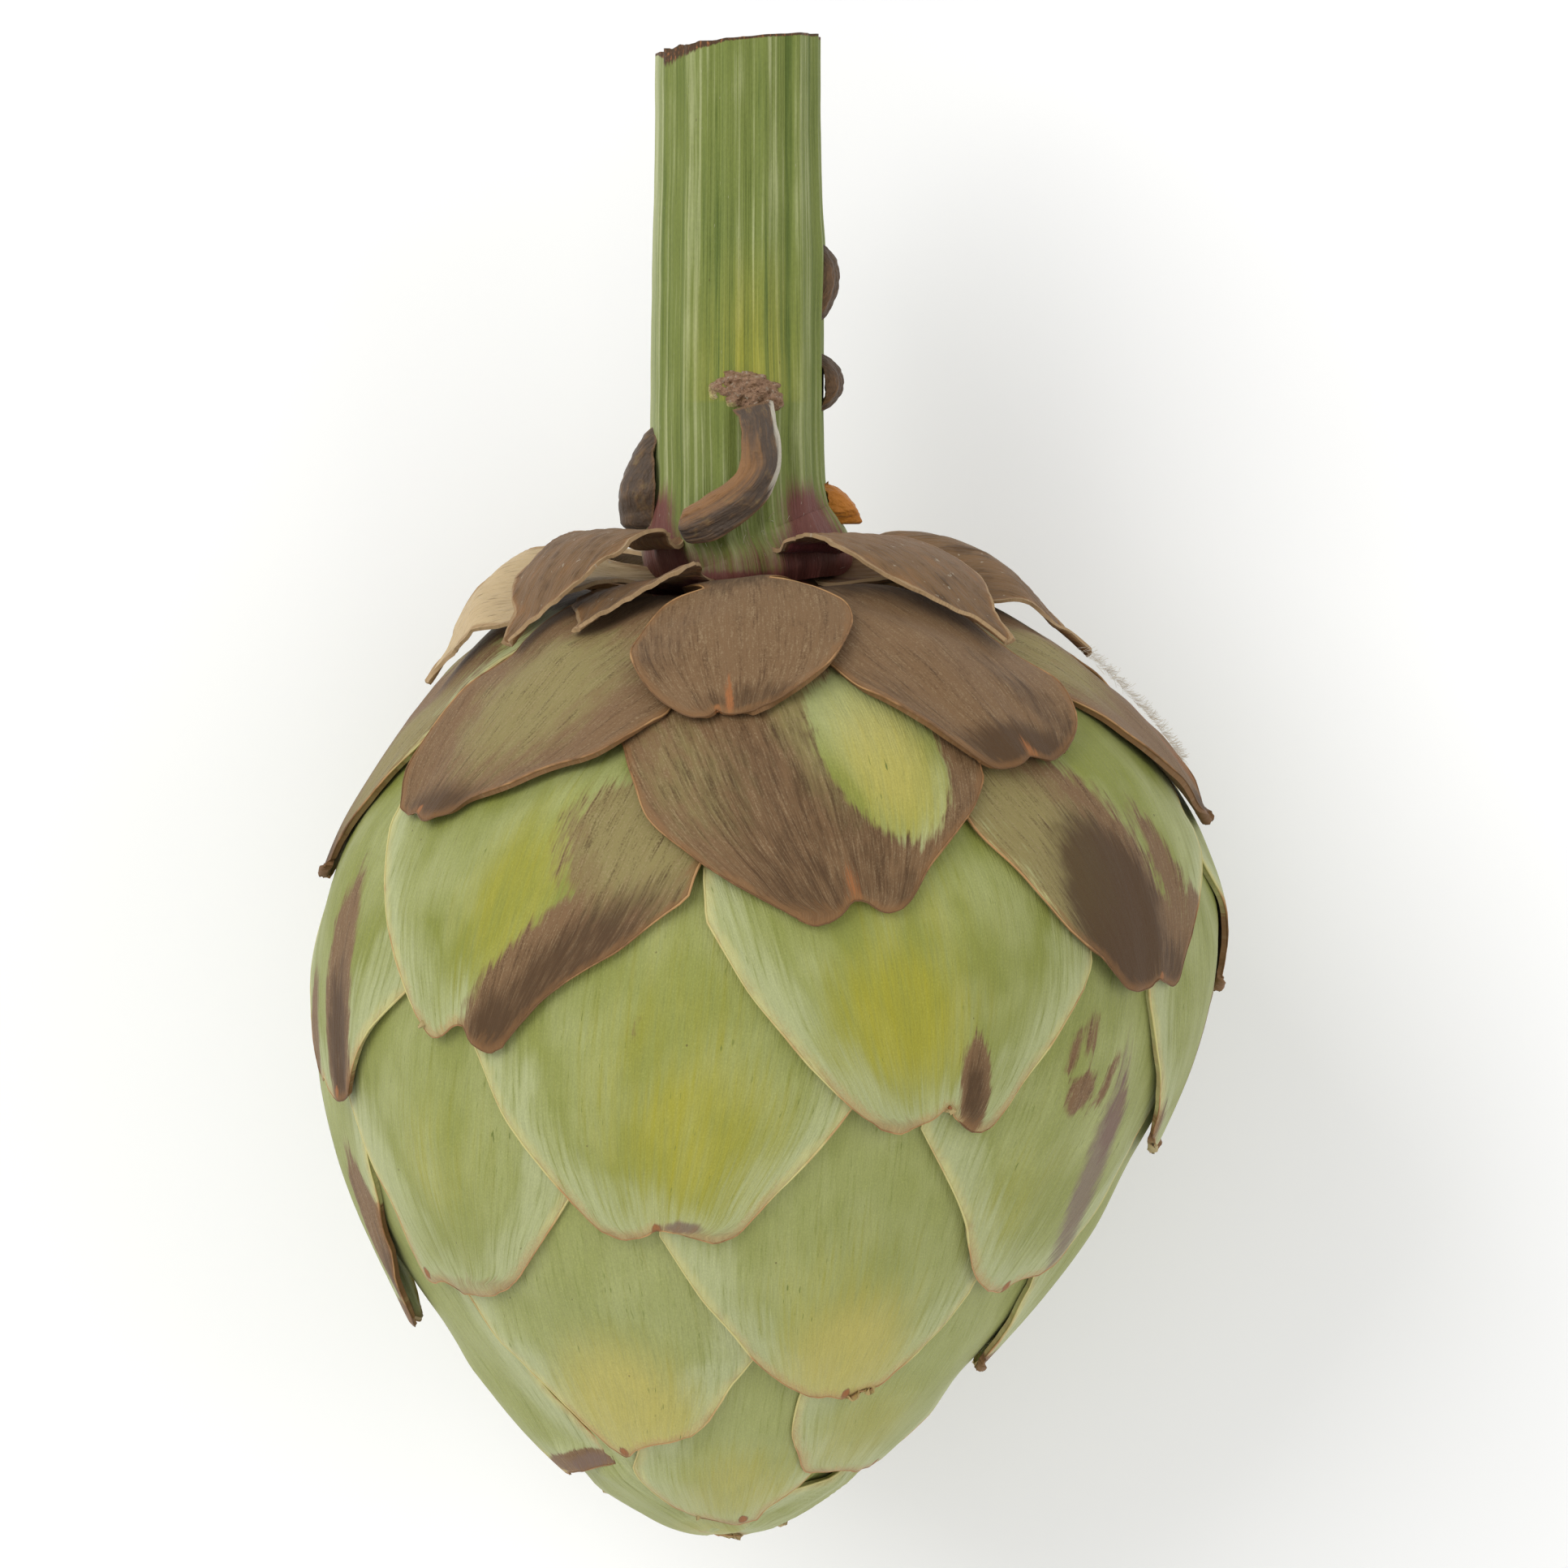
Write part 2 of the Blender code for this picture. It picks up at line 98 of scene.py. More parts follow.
# A bract's length, where the bases stand along the outline, and how wide and thick they are
LONGEST = 66.0
FIRST_BASE = 9.5
BASE_STEP = 0.62
BASE_WIDTH = 0.45
BASE_TAPER = 1.5
FULL_LENGTH = 60.0
LIFT_LENGTH = 26.0
BASE_THICK = 1.6
# Bracts whose tips lie nearer than this to the shoulder are browned all over
BROWN_UNTIL = 30.0
BROWNED_NAMES = ("bract_11",)
# The head is browned this far along its outline, and over the next stretch the brown fades
BROWN_FOOT = 24.0
BROWN_FADE = 6.0

# The bracts of the upper side, from the shoulder to the tip:
# turn round the axis, tip distance, half width, lean of the base, lift of the tip
SEEN = (
    (-6, 17.6, 13.2, 0, 0.5), (36, 23.2, 13.6, -16, 0.6), (-50, 28.9, 15.0, 22, 0.8),
    (86, 29.6, 13.5, -30, 1.5), (-90, 35.9, 16.0, 8, 1.3), (10, 39.0, 22.0, -14, 0.5),
    (57, 47.4, 22.8, -16, 0.6), (97, 49.0, 18.0, -4, 1.4), (-38, 53.3, 24.4, 10, 0.5),
    (-69, 60.4, 20.0, 5, 0.7), (25.5, 62.3, 23.4, -18, 0.4), (85, 66.9, 21.5, -20, 1.6),
    (-11, 74.6, 24.4, 0, 0.4), (-52, 80.8, 21.0, 8, 0.4), (49, 82.2, 23.0, 0, 0.4),
    (-90, 85.7, 18.0, 0, 2.0), (90, 92.3, 19.0, 0, 0.7), (28, 93.8, 22.4, -14, 0.4),
    (-29, 101.0, 21.0, 4, 0.4), (61, 103.3, 18.5, -16, 0.4), (-78, 103.9, 17.0, 0, 0.9),
    (15, 109.2, 16.5, -8, 0.3), (-62, 111.8, 13.0, 0, 0.2), (100, 111.5, 13.0, 0, 0.2),
)
# The underside: columns of bracts, each with its turn and the distance of its first tip
HIDDEN_COLUMNS = ((121, 26.0), (152, 17.5), (184, 34.5), (228, 22.0))
HIDDEN_ROWS = 5
ROW_STEP = 21.1
ROW_TURN = 2.5
TURN_JITTER = 3.0
TIP_JITTER = 1.2
LAST_TIP = 111.2
HIDDEN_LIFT = 0.2
HIDDEN_WIDTH = (
    (17, 14.0), (30, 16.0), (40, 20.5), (54, 23.4), (76, 23.0), (90, 21.5), (102, 18.5), (110, 13.0),
)
SPIRAL_SEED = 11

# Dried bracts on the shoulder: turn, tip distance, half width, lean of the base, lift
DRIED = (
    (-53, 9.0, 7.6, 0, 3.6), (49, 8.8, 8.4, -8, 3.0), (-79, 13.0, 8.0, 8, 3.2),
    (86, 9.8, 8.4, -12, 3.8), (-27, 7.0, 6.0, 0, 1.0), (141, 9.5, 7.6, 0, 2.4),
    (-136, 10.5, 7.8, 0, 2.2),
)
DRIED_BASE = 3.2
DRIED_BASE_STEP = 1.1
DRIED_BASE_WIDTH = 0.24
DRIED_REACH = 8.0
DRIED_THICK = 0.8
# The arch that they stand up in, from the stem over the shoulder
HUMP_START = 0.12
HUMP_SKEW = 0.8
# By number of the dried bract: how straw-coloured and how red it is
STRAW = {3: 1.1, 6: 0.3, 7: 0.6}
RED = {1: 0.3, 2: 0.7, 5: 1.2}
USUAL_RED = 0.1
# Dried bracts with purple feet, those with a wide foot, and the one that lies flat under the others
PURPLE_FEET = (2, 5)
WIDE_FEET = (2, 4)
FLAT = 5
DRIED_GRID = (29, 57)

# Stem: distance down from the shoulder, and radius
STEM_PROFILE = (
    (-STEM_LENGTH, 9.3), (-50.0, 9.35), (-38.0, 9.5), (-27.0, 9.7), (-20.0, 9.75), (-12.0, 9.8),
    (-6.0, 9.95), (-2.5, 10.3), (0.6, 10.5), (2.4, 9.6),
)
STALK_ROWS = 150
# Radius at which the fibres round the stem have their true width
FIBRE_GIRTH = 9.6
# Slant of the cut, and the length of stem that it draws along
CUT_SLOPE = 0.11
CUT_STRETCH = 20.0
# The leaf scar's middle, and its size
SCAR_TURN = math.radians(7.0)
SCAR_DOWN = -19.8
SCAR_HALF_WIDTH = 5.0
SCAR_HALF_LENGTH = 2.8

# Withered leaves on the stem: rows of distance down, turn, height off the stem and half width
STEM_LEAVES = {
    "stem_leaf_front": (
        (-18.4, 9, 0.3, 2.4), (-17.0, 11, 1.5, 1.9), (-14.5, 12, 2.1, 1.8), (-11.0, 11, 2.4, 1.9),
        (-8.0, 2, 2.3, 2.2), (-5.6, -14, 2.0, 2.3), (-4.5, -28, 1.8, 2.0), (-4.4, -36, 1.5, 1.7),
    ),
    "stem_leaf_upper": (
        (-37.8, 88, -0.9, 0.8), (-35.4, 89, 0.1, 2.2), (-32.0, 90, 0.1, 2.2), (-28.4, 91, -0.9, 0.8),
    ),
    "stem_leaf_right": (
        (-24.8, 88, -0.8, 1.2), (-22.8, 90, 0.4, 2.2), (-20.4, 92, 0.6, 2.0), (-18.2, 92, -0.6, 0.9),
    ),
    "stem_leaf_left": (
        (-16.6, -88, -0.7, 1.0), (-13.0, -90, 0.6, 2.8), (-9.0, -92, 1.7, 3.6), (-4.4, -94, 2.2, 2.6),
    ),
    "stem_scale": (
        (-9.8, 90, -0.4, 0.8), (-8.6, 92, 0.9, 1.6), (-7.0, 95, 2.2, 1.7), (-5.2, 98, 3.2, 1.0),
    ),
}
LEAF_GRID = (21, 73)

# Stains and glows by bract: what, sideways and from the tip, half sizes both ways, turn, strength.
# Sideways and from the tip are in millimetres on the bract's own surface.
MARKS = {
    2: (
        ("brown", 0, 12, 30, 30, 0, 1.3), ("dark", 2.5, 2.0, 6.5, 3.0, 8, 0.8),
        ("ember", -0.6, 2.6, 0.6, 3.8, 0, 0.9), ("dark", -9, 12, 5, 9, 0, 0.5),
    ),
    4: (
        ("brown", 0, 12, 30, 30, 0, 1.3), ("dark", 2.0, 1.5, 8, 4.5, 0, 1.3),
        ("ember", 3.0, 1.8, 7, 3.0, 0, 0.2), ("dark", 9.5, 8, 3.0, 8, 10, 0.7),
        ("ember", 2.2, 1.5, 0.8, 2.6, 0, 0.8), ("dark", -9, 9, 4, 7, 0, 0.5),
    ),
    6: (
        ("brown", 0, 16, 30, 30, 0, 0.93), ("dark", 0.0, 0.5, 7.5, 4.0, 0, 1.0),
        ("brown", -11, 12, 4.0, 14, 0, 1.25), ("brown", 12, 9, 5, 9, 0, 1.2),
        ("olive", 1, 17, 9, 11, 0, 0.9),
    ),
    7: (
        ("brown", 0, 15, 30, 30, 0, 1.2), ("dark", 0, 1, 6, 4, 0, 1.0),
        ("ember", 8, 10, 2.5, 12, 0, 0.6), ("olive", -6, 24, 7, 8, 0, 0.8),
    ),
    9: (
        ("brown", 4, 10, 12, 30, 0, 0.92), ("dark", 2, 1.5, 8, 4.5, 0, 0.9),
        ("olive", 9, 16, 6, 11, 0, 0.9),
    ),
    11: (
        ("brown", 0, 12, 40, 40, 0, 1.35), ("dark", -2, 12, 16, 18, 0, 0.6),
        ("fresh", 8.0, 20.0, 6.4, 10.5, 4, 2.3), ("glow", 8.6, 14.5, 5.0, 7.0, 0, 0.55),
        ("pale", 6.0, 26.5, 6.5, 7.5, 0, 1.2), ("tan", 8.5, 19.0, 5.5, 9.0, 4, 0.7),
        ("dark", -4.5, 3.0, 10, 5.5, -20, 0.7), ("dark", 7, 2.6, 5, 3.2, 0, 0.7),
        ("dark", 17, 15, 3.5, 7, 0, 0.4), ("ember", 0.2, 2.5, 1.0, 4.0, 0, 0.7),
        ("olive", 1, 24, 4.5, 12, 6, 0.9), ("olive", -14, 16, 6, 9, 0, 0.5),
    ),
    13: (
        ("brown", -8.2, 12, 8.4, 17, 16, 1.4), ("brown", 0.5, 3.5, 7.5, 6.0, 0, 1.3),
        ("dark", -6.5, 8.5, 6.8, 10.0, 14, 1.7), ("brown", -16, 19, 8, 11, 0, 0.72),
        ("dark", 2.0, 1.5, 6.5, 4, 0, 0.9), ("brown", 5.0, 12, 2.6, 10, 10, 0.8),
        ("olive", -16, 16, 9, 12, 0, 1.0),
        ("brown", 9.5, 4.5, 3.0, 7, 8, 0.95),
    ),
    15: (
        ("brown", -12, 3, 14, 6.5, 0, 1.25), ("dark", -12, 1.5, 10, 3.4, 0, 0.8),
        ("brown", 6, 6, 5, 9, 0, 1.0),
    ),
    16: (
        ("brown", 11.6, 10.2, 5.4, 15.5, -46, 1.55), ("dark", 10.5, 7.6, 4.8, 14.0, -46, 0.95),
        ("brown", 3.6, 2.0, 4.2, 4.5, 0, 1.4), ("dark", 3.4, 2.0, 3.8, 4.0, 0, 1.1),
        ("brown", 15.5, 22.5, 9.5, 8.5, -20, 1.02), ("olive", 16, 24, 10, 9, -20, 0.9),
        ("glow", 2.0, 16.0, 6.5, 10.5, -16, 0.72), ("glow", 7.0, 20, 6.0, 5.5, -30, 0.5),
    ),
    19: (
        ("brown", 1.0, 11.0, 3.3, 13.5, 2, 1.4), ("dark", 1.0, 7.0, 2.9, 9.5, 0, 1.1),
        ("brown", -9, 7, 3.0, 8.0, 0, 0.95),
    ),
    20: (
        ("glow", -4.3, 12.5, 7.5, 9.0, 0, 0.95), ("glow", -2.0, 18, 9.0, 13, 0, 0.4),
        ("brown", 4.4, 4.4, 1.7, 5.2, 0, 1.35), ("dark", 4.4, 3.8, 1.5, 4.6, 0, 1.0),
    ),
    22: (
        ("brown", 2.8, 8, 2.6, 12.5, 8, 1.25), ("dark", 2.6, 3.5, 2.2, 5.5, 0, 0.8),
        ("brown", -9, 3, 4, 3.5, 0, 0.6),
    ),
    24: (
        ("glow", 3.3, 12.0, 9.5, 10.5, 0, 0.78), ("glow", 0.5, 20.0, 9.5, 16.0, 0, 0.45),
        ("brown", -4.2, 27.5, 0.5, 4.0, 0, 0.6), ("brown", -2.6, 30.0, 0.4, 3.5, 0, 0.55),
        ("violet", 3.0, 0.9, 2.2, 0.8, 0, 1.1),
    ),
    26: (("glow", 3, 16, 6.5, 9, 0, 0.35),),
    28: (
        ("violet", 9.6, 15.5, 2.6, 14.5, 15, 1.1), ("brown", 8.4, 22.5, 1.8, 6.0, 15, 0.8),
        ("brown", -1.1, 26.0, 1.9, 2.6, 0, 1.1), ("brown", -2.0, 32.5, 0.8, 3.6, 0, 1.0),
        ("brown", 3.2, 27.0, 0.9, 4.5, -12, 0.9), ("brown", -4.4, 30.0, 0.5, 3.6, 0, 0.8),
        ("glow", -3, 12, 7, 7, 0, 0.35),
    ),
    29: (
        ("brown", 11.0, 8.5, 3.2, 11.5, 4, 1.5), ("dark", 10.6, 4.0, 3.2, 6.5, 0, 1.0),
        ("brown", 4, 1.0, 7, 2.4, 0, 1.0),
    ),
    32: (("brown", -4, 1.5, 3, 2.2, 0, 0.9),),
    33: (("tan", -0.4, 6.0, 7.5, 9.5, 0, 0.85), ("glow", -3, 14, 9, 10, 0, 0.4)),
    35: (("tan", 2.4, 8.0, 8.5, 11.0, 0, 0.85), ("glow", 5, 10, 6.5, 9, 0, 0.3)),
    37: (("tan", -6, 7, 7, 8, 0, 0.4),),
    38: (
        ("brown", 7.6, 2.6, 6.5, 1.5, 4, 1.3), ("violet", 9.5, 2.4, 4.5, 1.2, 4, 0.8),
        ("tan", 0, 1.5, 3, 3.5, 0, 1.1),
    ),
    40: (("tan", -2, 7, 7, 8, 0, 0.45), ("glow", 0, 9, 6, 6, 0, 0.4)),
    44: (("tan", 6, 3, 6, 5, 0, 0.5),),
}
TONES = ("brown", "dark", "olive", "glow", "pale", "tan", "ember", "violet", "fresh")
# Tips by bract: depth of the notch, its half width, and how much longer the left and right lobes are
TIPS = {
    2: (0.9, 1.3, 0.2, 0.3), 4: (1.0, 1.2, 0.3, -0.4), 6: (0.6, 1.0, -0.6, 0.5),
    11: (2.1, 2.3, 0.7, 0.1), 13: (1.4, 1.3, 0.2, 0.2), 16: (1.9, 1.6, 0.0, 1.7),
    19: (0.7, 1.2, 0.1, 0.6), 20: (1.6, 1.7, 0.3, 0.4), 24: (0.7, 1.2, 0.2, 0.5),
    26: (0.6, 1.2, -0.3, 0.7), 28: (0.9, 1.2, 0.2, 0.0), 33: (0.8, 1.1, 0.1, 0.2),
}
USUAL_TIP = (0.8, 1.3, 0.2, 0.2)

# Sideways place of the spine at a bract's tip, where that isn't the middle
SPINES = {
    2: -1.9, 4: 1.9, 6: -3.4, 16: -2.2, 20: 1.3, 26: -6.0, 28: 4.1, 33: 0.9, 35: -0.2, 37: 4.1,
}

# Margins of the bracts of the upper side, in millimetres sideways and from the tip: the left one
# upwards from its corner, the tip from left to right, and the right one upwards from its corner
MARGINS = {
    2: (
        (
            (-6.3, 0.4), (-9.2, 3.0), (-11.1, 6.9), (-11.9, 10.8), (-10.4, 15.1), (-7.3, 20.5),
            (-3.5, 24.0),
        ),
        ((-6.3, 0.4), (-4.6, -0.3), (-3.0, -0.1), (-2.0, 1.0), (-1.2, 0.4), (0.5, 0.3), (2.4, 1.1)),
        (
            (2.4, 1.1), (4.8, 2.3), (7.8, 4.5), (10.8, 7.6), (13.0, 12.2), (13.6, 15.8),
            (12.3, 19.6), (8.2, 23.6), (4.0, 26.0),
        ),
    ),
    4: (
        ((-5.0, 0.8), (-7.6, 3.9), (-10.0, 7.7), (-11.8, 10.7), (-12.0, 13.7)),
        (
            (-5.0, 0.8), (-3.7, 0.0), (-1.9, -0.1), (0.1, 0.4), (1.9, 1.4), (2.9, 1.1), (5.0, 0.9),
            (7.7, 2.1),
        ),
        (
            (7.7, 2.1), (11.2, 4.7), (13.8, 7.7), (15.6, 11.3), (15.8, 14.4), (15.0, 17.6),
            (13.6, 20.7),
        ),
    ),
    6: (
        ((-8.0, 1.1), (-10.5, 4.5), (-12.3, 8.4), (-13.4, 14.2), (-12.4, 19.6), (-10.7, 24.1)),
        ((-8.0, 1.1), (-5.6, 0.4), (-3.6, 0.5), (-1.5, -0.5), (0.4, -0.2)),
        (
            (0.4, -0.2), (2.0, 0.5), (4.2, 2.4), (8.4, 4.0), (12.2, 6.2), (16.2, 7.8), (18.0, 10.7),
            (18.8, 14.2),
        ),
    ),
    11: (
        (
            (-5.9, -0.9), (-9.1, 1.0), (-13.3, 3.7), (-16.4, 6.3), (-20.2, 10.5), (-20.8, 15.1),
            (-21.0, 17.8),
        ),
        (
            (-5.9, -0.9), (-4.2, -1.5), (-2.6, -1.0), (-1.3, -0.1), (-0.1, 1.2), (1.3, 1.2),
            (2.1, 0.6), (3.6, -0.1), (5.2, 0.3),
        ),
        ((5.2, 0.3), (6.8, 1.6), (9.2, 4.7), (11.9, 7.3), (14.3, 9.5), (17.2, 12.4), (19.8, 16.2)),
    ),
    13: (
        (
            (-8.5, 1.2), (-10.7, 3.3), (-14.7, 6.1), (-17.8, 9.9), (-20.1, 13.9), (-21.3, 16.7),
            (-21.8, 18.7),
        ),
        (
            (-8.5, 1.2), (-6.4, -0.3), (-4.0, -0.7), (-1.9, -0.3), (-0.6, 0.6), (1.0, 0.3),
            (3.4, -0.3), (4.7, 0.3),
        ),
        ((4.7, 0.3), (6.2, 3.3), (9.3, 7.2), (13.5, 11.3), (17.5, 15.2)),
    ),
    16: (
        (
            (-7.5, 1.5), (-9.2, 3.1), (-11.6, 6.0), (-16.2, 11.6), (-19.2, 15.9), (-22.2, 20.7),
            (-23.9, 24.7),
        ),
        (
            (-7.5, 1.5), (-6.0, 0.3), (-4.3, 0.5), (-2.9, 1.6), (-1.4, 1.6), (-0.3, 0.4),
            (1.2, -0.8), (2.8, -1.3), (4.5, -0.7),
        ),
        (
            (4.5, -0.7), (5.5, 0.7), (8.2, 4.0), (10.5, 6.1), (13.6, 8.3), (16.7, 10.2),
            (19.8, 13.2), (22.9, 16.0),
        ),
    ),
    19: (
        ((-8.5, 3.0), (-10.8, 5.6), (-13.4, 9.5), (-15.4, 13.5)),
        ((-8.5, 3.0), (-6.9, 1.7), (-5.6, 2.4), (-3.4, 0.7), (0.2, -0.4), (3.0, 0.5)),
        ((3.0, 0.5), (4.7, 3.3), (6.8, 5.7), (10.1, 8.6), (14.2, 11.7), (16.7, 13.4)),
    ),
    20: (
        (
            (-6.5, -0.5), (-9.9, 1.9), (-14.4, 6.3), (-17.7, 10.4), (-21.2, 15.1), (-23.7, 20.4),
            (-24.7, 22.9),
        ),
        (
            (-6.5, -0.5), (-4.0, -1.2), (-2.0, -0.4), (0.0, 0.8), (1.3, 1.9), (2.2, 0.7),
            (4.0, -0.6), (5.8, -1.2), (7.3, -0.7),
        ),
        (
            (7.3, -0.7), (9.1, 1.9), (11.1, 5.1), (13.8, 8.2), (17.3, 12.5), (19.6, 15.2),
            (21.6, 17.7),
        ),
    ),
    24: (
        (
            (-6.0, 0.1), (-7.5, 1.4), (-10.2, 4.6), (-16.4, 11.5), (-19.9, 15.5), (-23.7, 21.0),
            (-25.6, 24.3),
        ),
        (
            (-6.0, 0.1), (-4.1, -0.7), (-1.8, -0.5), (0.0, 0.5), (1.9, 0.1), (4.2, -0.5),
            (6.4, -1.0), (8.1, -0.6),
        ),
        ((8.1, -0.6), (9.6, 0.7), (12.7, 4.6), (17.3, 10.0), (21.3, 15.3)),
    ),
    26: (
        (
            (-7.3, -0.2), (-7.4, 2.4), (-7.1, 6.8), (-8.3, 11.5), (-11.6, 15.7), (-15.1, 19.5),
            (-17.6, 22.5),
        ),
        (
            (-7.3, -0.2), (-6.0, -0.8), (-3.4, -0.4), (-1.5, -1.5), (1.5, -2.0), (4.4, -1.9),
            (6.9, -1.2),
        ),
        ((6.9, -1.2), (9.8, 0.5), (14.2, 4.6), (16.9, 7.4), (19.3, 10.1), (21.0, 12.2)),
    ),
    28: (
        (
            (-1.3, 1.4), (-3.9, 3.5), (-6.7, 6.9), (-9.1, 10.2), (-13.7, 15.0), (-18.1, 19.2),
            (-21.0, 22.0),
        ),
        ((-1.3, 1.4), (1.4, 0.3), (4.1, -0.2), (5.5, 0.9), (7.8, 1.6), (10.7, 1.9)),
        ((10.7, 1.9), (13.8, 3.6), (15.5, 7.2), (19.6, 11.6), (21.3, 15.5)),
    ),
    29: (
        ((-7.0, 0.8), (-9.5, 4.0), (-12.0, 9.0)),
        ((-7.0, 0.8), (-4.5, -0.6), (-2.0, -0.2), (0.0, 0.7), (2.0, -0.1), (4.0, -0.6), (6.5, 0.6)),
        ((6.5, 0.6), (9.0, 4.5), (12.0, 9.5)),
    ),
    33: (
        (
            (-4.4, 0.6), (-7.5, 2.7), (-11.3, 6.2), (-14.8, 10.4), (-19.1, 15.3), (-22.8, 20.3),
            (-25.2, 23.8),
        ),
        ((-4.4, 0.6), (-2.3, 0.0), (-0.8, 0.2), (0.9, -0.3), (2.2, 0.5), (3.8, 1.0)),
        ((3.8, 1.0), (5.5, 1.6), (6.9, 3.8), (9.8, 7.5), (12.6, 10.5), (15.1, 14.7)),
    ),
    35: (
        (
            (-1.9, 1.3), (-3.2, 4.1), (-6.4, 9.3), (-10.9, 15.5), (-13.9, 19.0), (-16.7, 23.6),
            (-18.7, 26.4),
        ),
        ((-1.9, 1.3), (-1.1, 0.4), (-0.2, -0.3), (1.5, 1.0), (3.5, 2.0), (6.5, 2.9), (8.7, 3.7)),
        ((8.7, 3.7), (11.0, 5.8), (12.8, 8.2), (15.0, 11.2), (16.9, 13.1), (19.1, 15.6)),
    ),
    37: (
        ((-10.3, 1.5), (-12.6, 4.0), (-15.8, 7.6), (-18.0, 12.8), (-19.2, 16.6)),
        (
            (-10.3, 1.5), (-8.4, 0.0), (-6.1, -0.1), (-3.3, 0.2), (0.6, -0.1), (4.1, -0.3),
            (8.5, 0.5),
        ),
        ((8.5, 0.5), (9.3, 2.2), (10.5, 5.0)),
    ),
    38: (
        ((-3.0, 0.6), (-5.5, 3.5), (-7.5, 8.0)),
        ((-3.0, 0.6), (-1.5, 0.2), (0.0, -0.3), (1.5, 0.5), (5.0, 0.9), (9.0, 1.3), (13.0, 2.0)),
        ((13.0, 2.0), (14.0, 5.0), (14.5, 10.0)),
    ),
    40: (
        ((-5.3, 0.9), (-8.4, 3.3), (-12.1, 7.5), (-14.6, 10.8)),
        ((-5.3, 0.9), (-2.7, -0.6), (-0.5, -1.2), (0.4, -0.6), (1.9, 0.0)),
        ((1.9, 0.0), (2.8, 3.3), (5.4, 7.1), (8.2, 10.1)),
    ),
    43: (
        ((-4.0, 0.5), (-9.5, 1.8), (-15.0, 4.0), (-19.5, 7.0)),
        ((-4.0, 0.5), (-2.0, -0.3), (0.0, 0.4), (2.0, -0.2), (4.0, 0.5)),
        ((4.0, 0.5), (6.0, 3.0), (7.0, 8.0)),
    ),
    44: (
        ((-4.0, 0.5), (-6.0, 3.0), (-7.0, 8.0)),
        ((-4.0, 0.5), (-2.0, -0.3), (0.0, 0.4), (2.0, -0.2), (4.0, 0.5)),
        ((4.0, 0.5), (8.5, 2.2), (12.0, 5.0), (13.5, 9.0)),
    ),
}

# Rows of a blade's grid for each column, and how much closer they lie near its tip
ROWS_TO_COLUMNS = 1.45
TIP_CROWDING = 1.7
# How far up a blade the outline of its tip still shows, and how soon a listed margin ends
TIP_FADE = 3.0
MARGIN_FADE = 9.0
# How much of its lift a bract's tip stands up by
STANDS = {7: 0.3, 9: 0.3, 15: 0.35, 29: 1.1}
USUAL_STAND = 0.7
# Relief of a blade: the rib to its spine, its broad swells, its veins, and its rounded margin
KEEL_HEIGHT = 0.22
SWELL_HEIGHT = 0.26
VEIN_HEIGHT = 0.03
ROUNDING = 0.16
ROUNDED_WIDTH = 0.7
# The thinnest that a fresh blade gets, and the thickness of dried bracts and of leaves on the stem
THINNEST = 0.2
DRIED_SHEET = 0.45
LEAF_SHEET = 0.4
# The line of a margin's bead: how far from the tip it ends, and the steps that it goes in
RIM_REACH = 48.0
RIM_STEP = 0.45
# Steps between the fibre patterns of one bract and the next
FIBRE_STEP = 3.7
DRIED_FIBRE_STEP = 5.3
# The inner bud's grid, and how far it lies under the innermost bracts
BUD_RINGS = 100
BUD_SIDES = 96
BUD_CLEAR = 0.5
# Hairs at the stem's foot, and on the right-hand shoulder bract's edge
DOWN_SEED = 21
FOOT_HAIRS = 90
EDGE_HAIRS = 520


class Bract(namedtuple("Bract", "name turn tip base width base_width lean lift dried")):
    """One bract: its tip and base are places along the outline, its widths are half widths."""

    @property
    def number(self):
        return int(self.name.rsplit("_", 1)[1])

    @property
    def length(self):
        return self.tip - self.base

    @property
    def tip_down(self):
        """Distance of the tip down from the shoulder."""
        return float(down_at(self.tip))

    @property
    def browned(self):
        return self.tip_down < BROWN_UNTIL

    def share(self, from_tip):
        """0 at the tip or past it, 1 at the base or past it."""
        return np.clip(from_tip / self.length, 0, 1)


# Settings

class ArtichokeSizes(bpy.types.PropertyGroup):
    edge_thick: FloatProperty(
        name="Margin thickness", description="Thickness of a bract at its margin",
        default=0.72 * MM, unit="LENGTH", precision=5,
    )
    layer_gap: FloatProperty(
        name="Gap between bracts", description="Clear space between one bract and the next",
        default=0.1 * MM, unit="LENGTH", precision=5,
    )
    rim_radius: FloatProperty(
        name="Rim radius", description="Radius of the pale bead along a bract's margin",
        default=0.13 * MM, unit="LENGTH", precision=5,
    )
    spine_length: FloatProperty(
        name="Spine length", description="Length of the small spine at a bract's tip",
        default=0.7 * MM, unit="LENGTH", precision=5,
    )
    ribs: IntProperty(name="Ribs", description="Main ribs round the stem", default=13)
    rib_height: FloatProperty(
        name="Rib height", description="Height of the stem's main ribs",
        default=0.26 * MM, unit="LENGTH", precision=5,
    )
    hair_length: FloatProperty(
        name="Down length", description="Length of the hairs of the down",
        default=1.9 * MM, unit="LENGTH", precision=5,
    )
    vessels: IntProperty(
        name="Vessels", description="Dried vessel ends in a ring on the cut", default=26,
    )
    grid: IntProperty(
        name="Grid across", description="Cells across a bract's blade", default=44,
    )


def colour(name, description, value):
    return FloatVectorProperty(
        name=name, description=description, default=value, size=3, subtype="COLOR", min=0.0, max=1.0,
    )


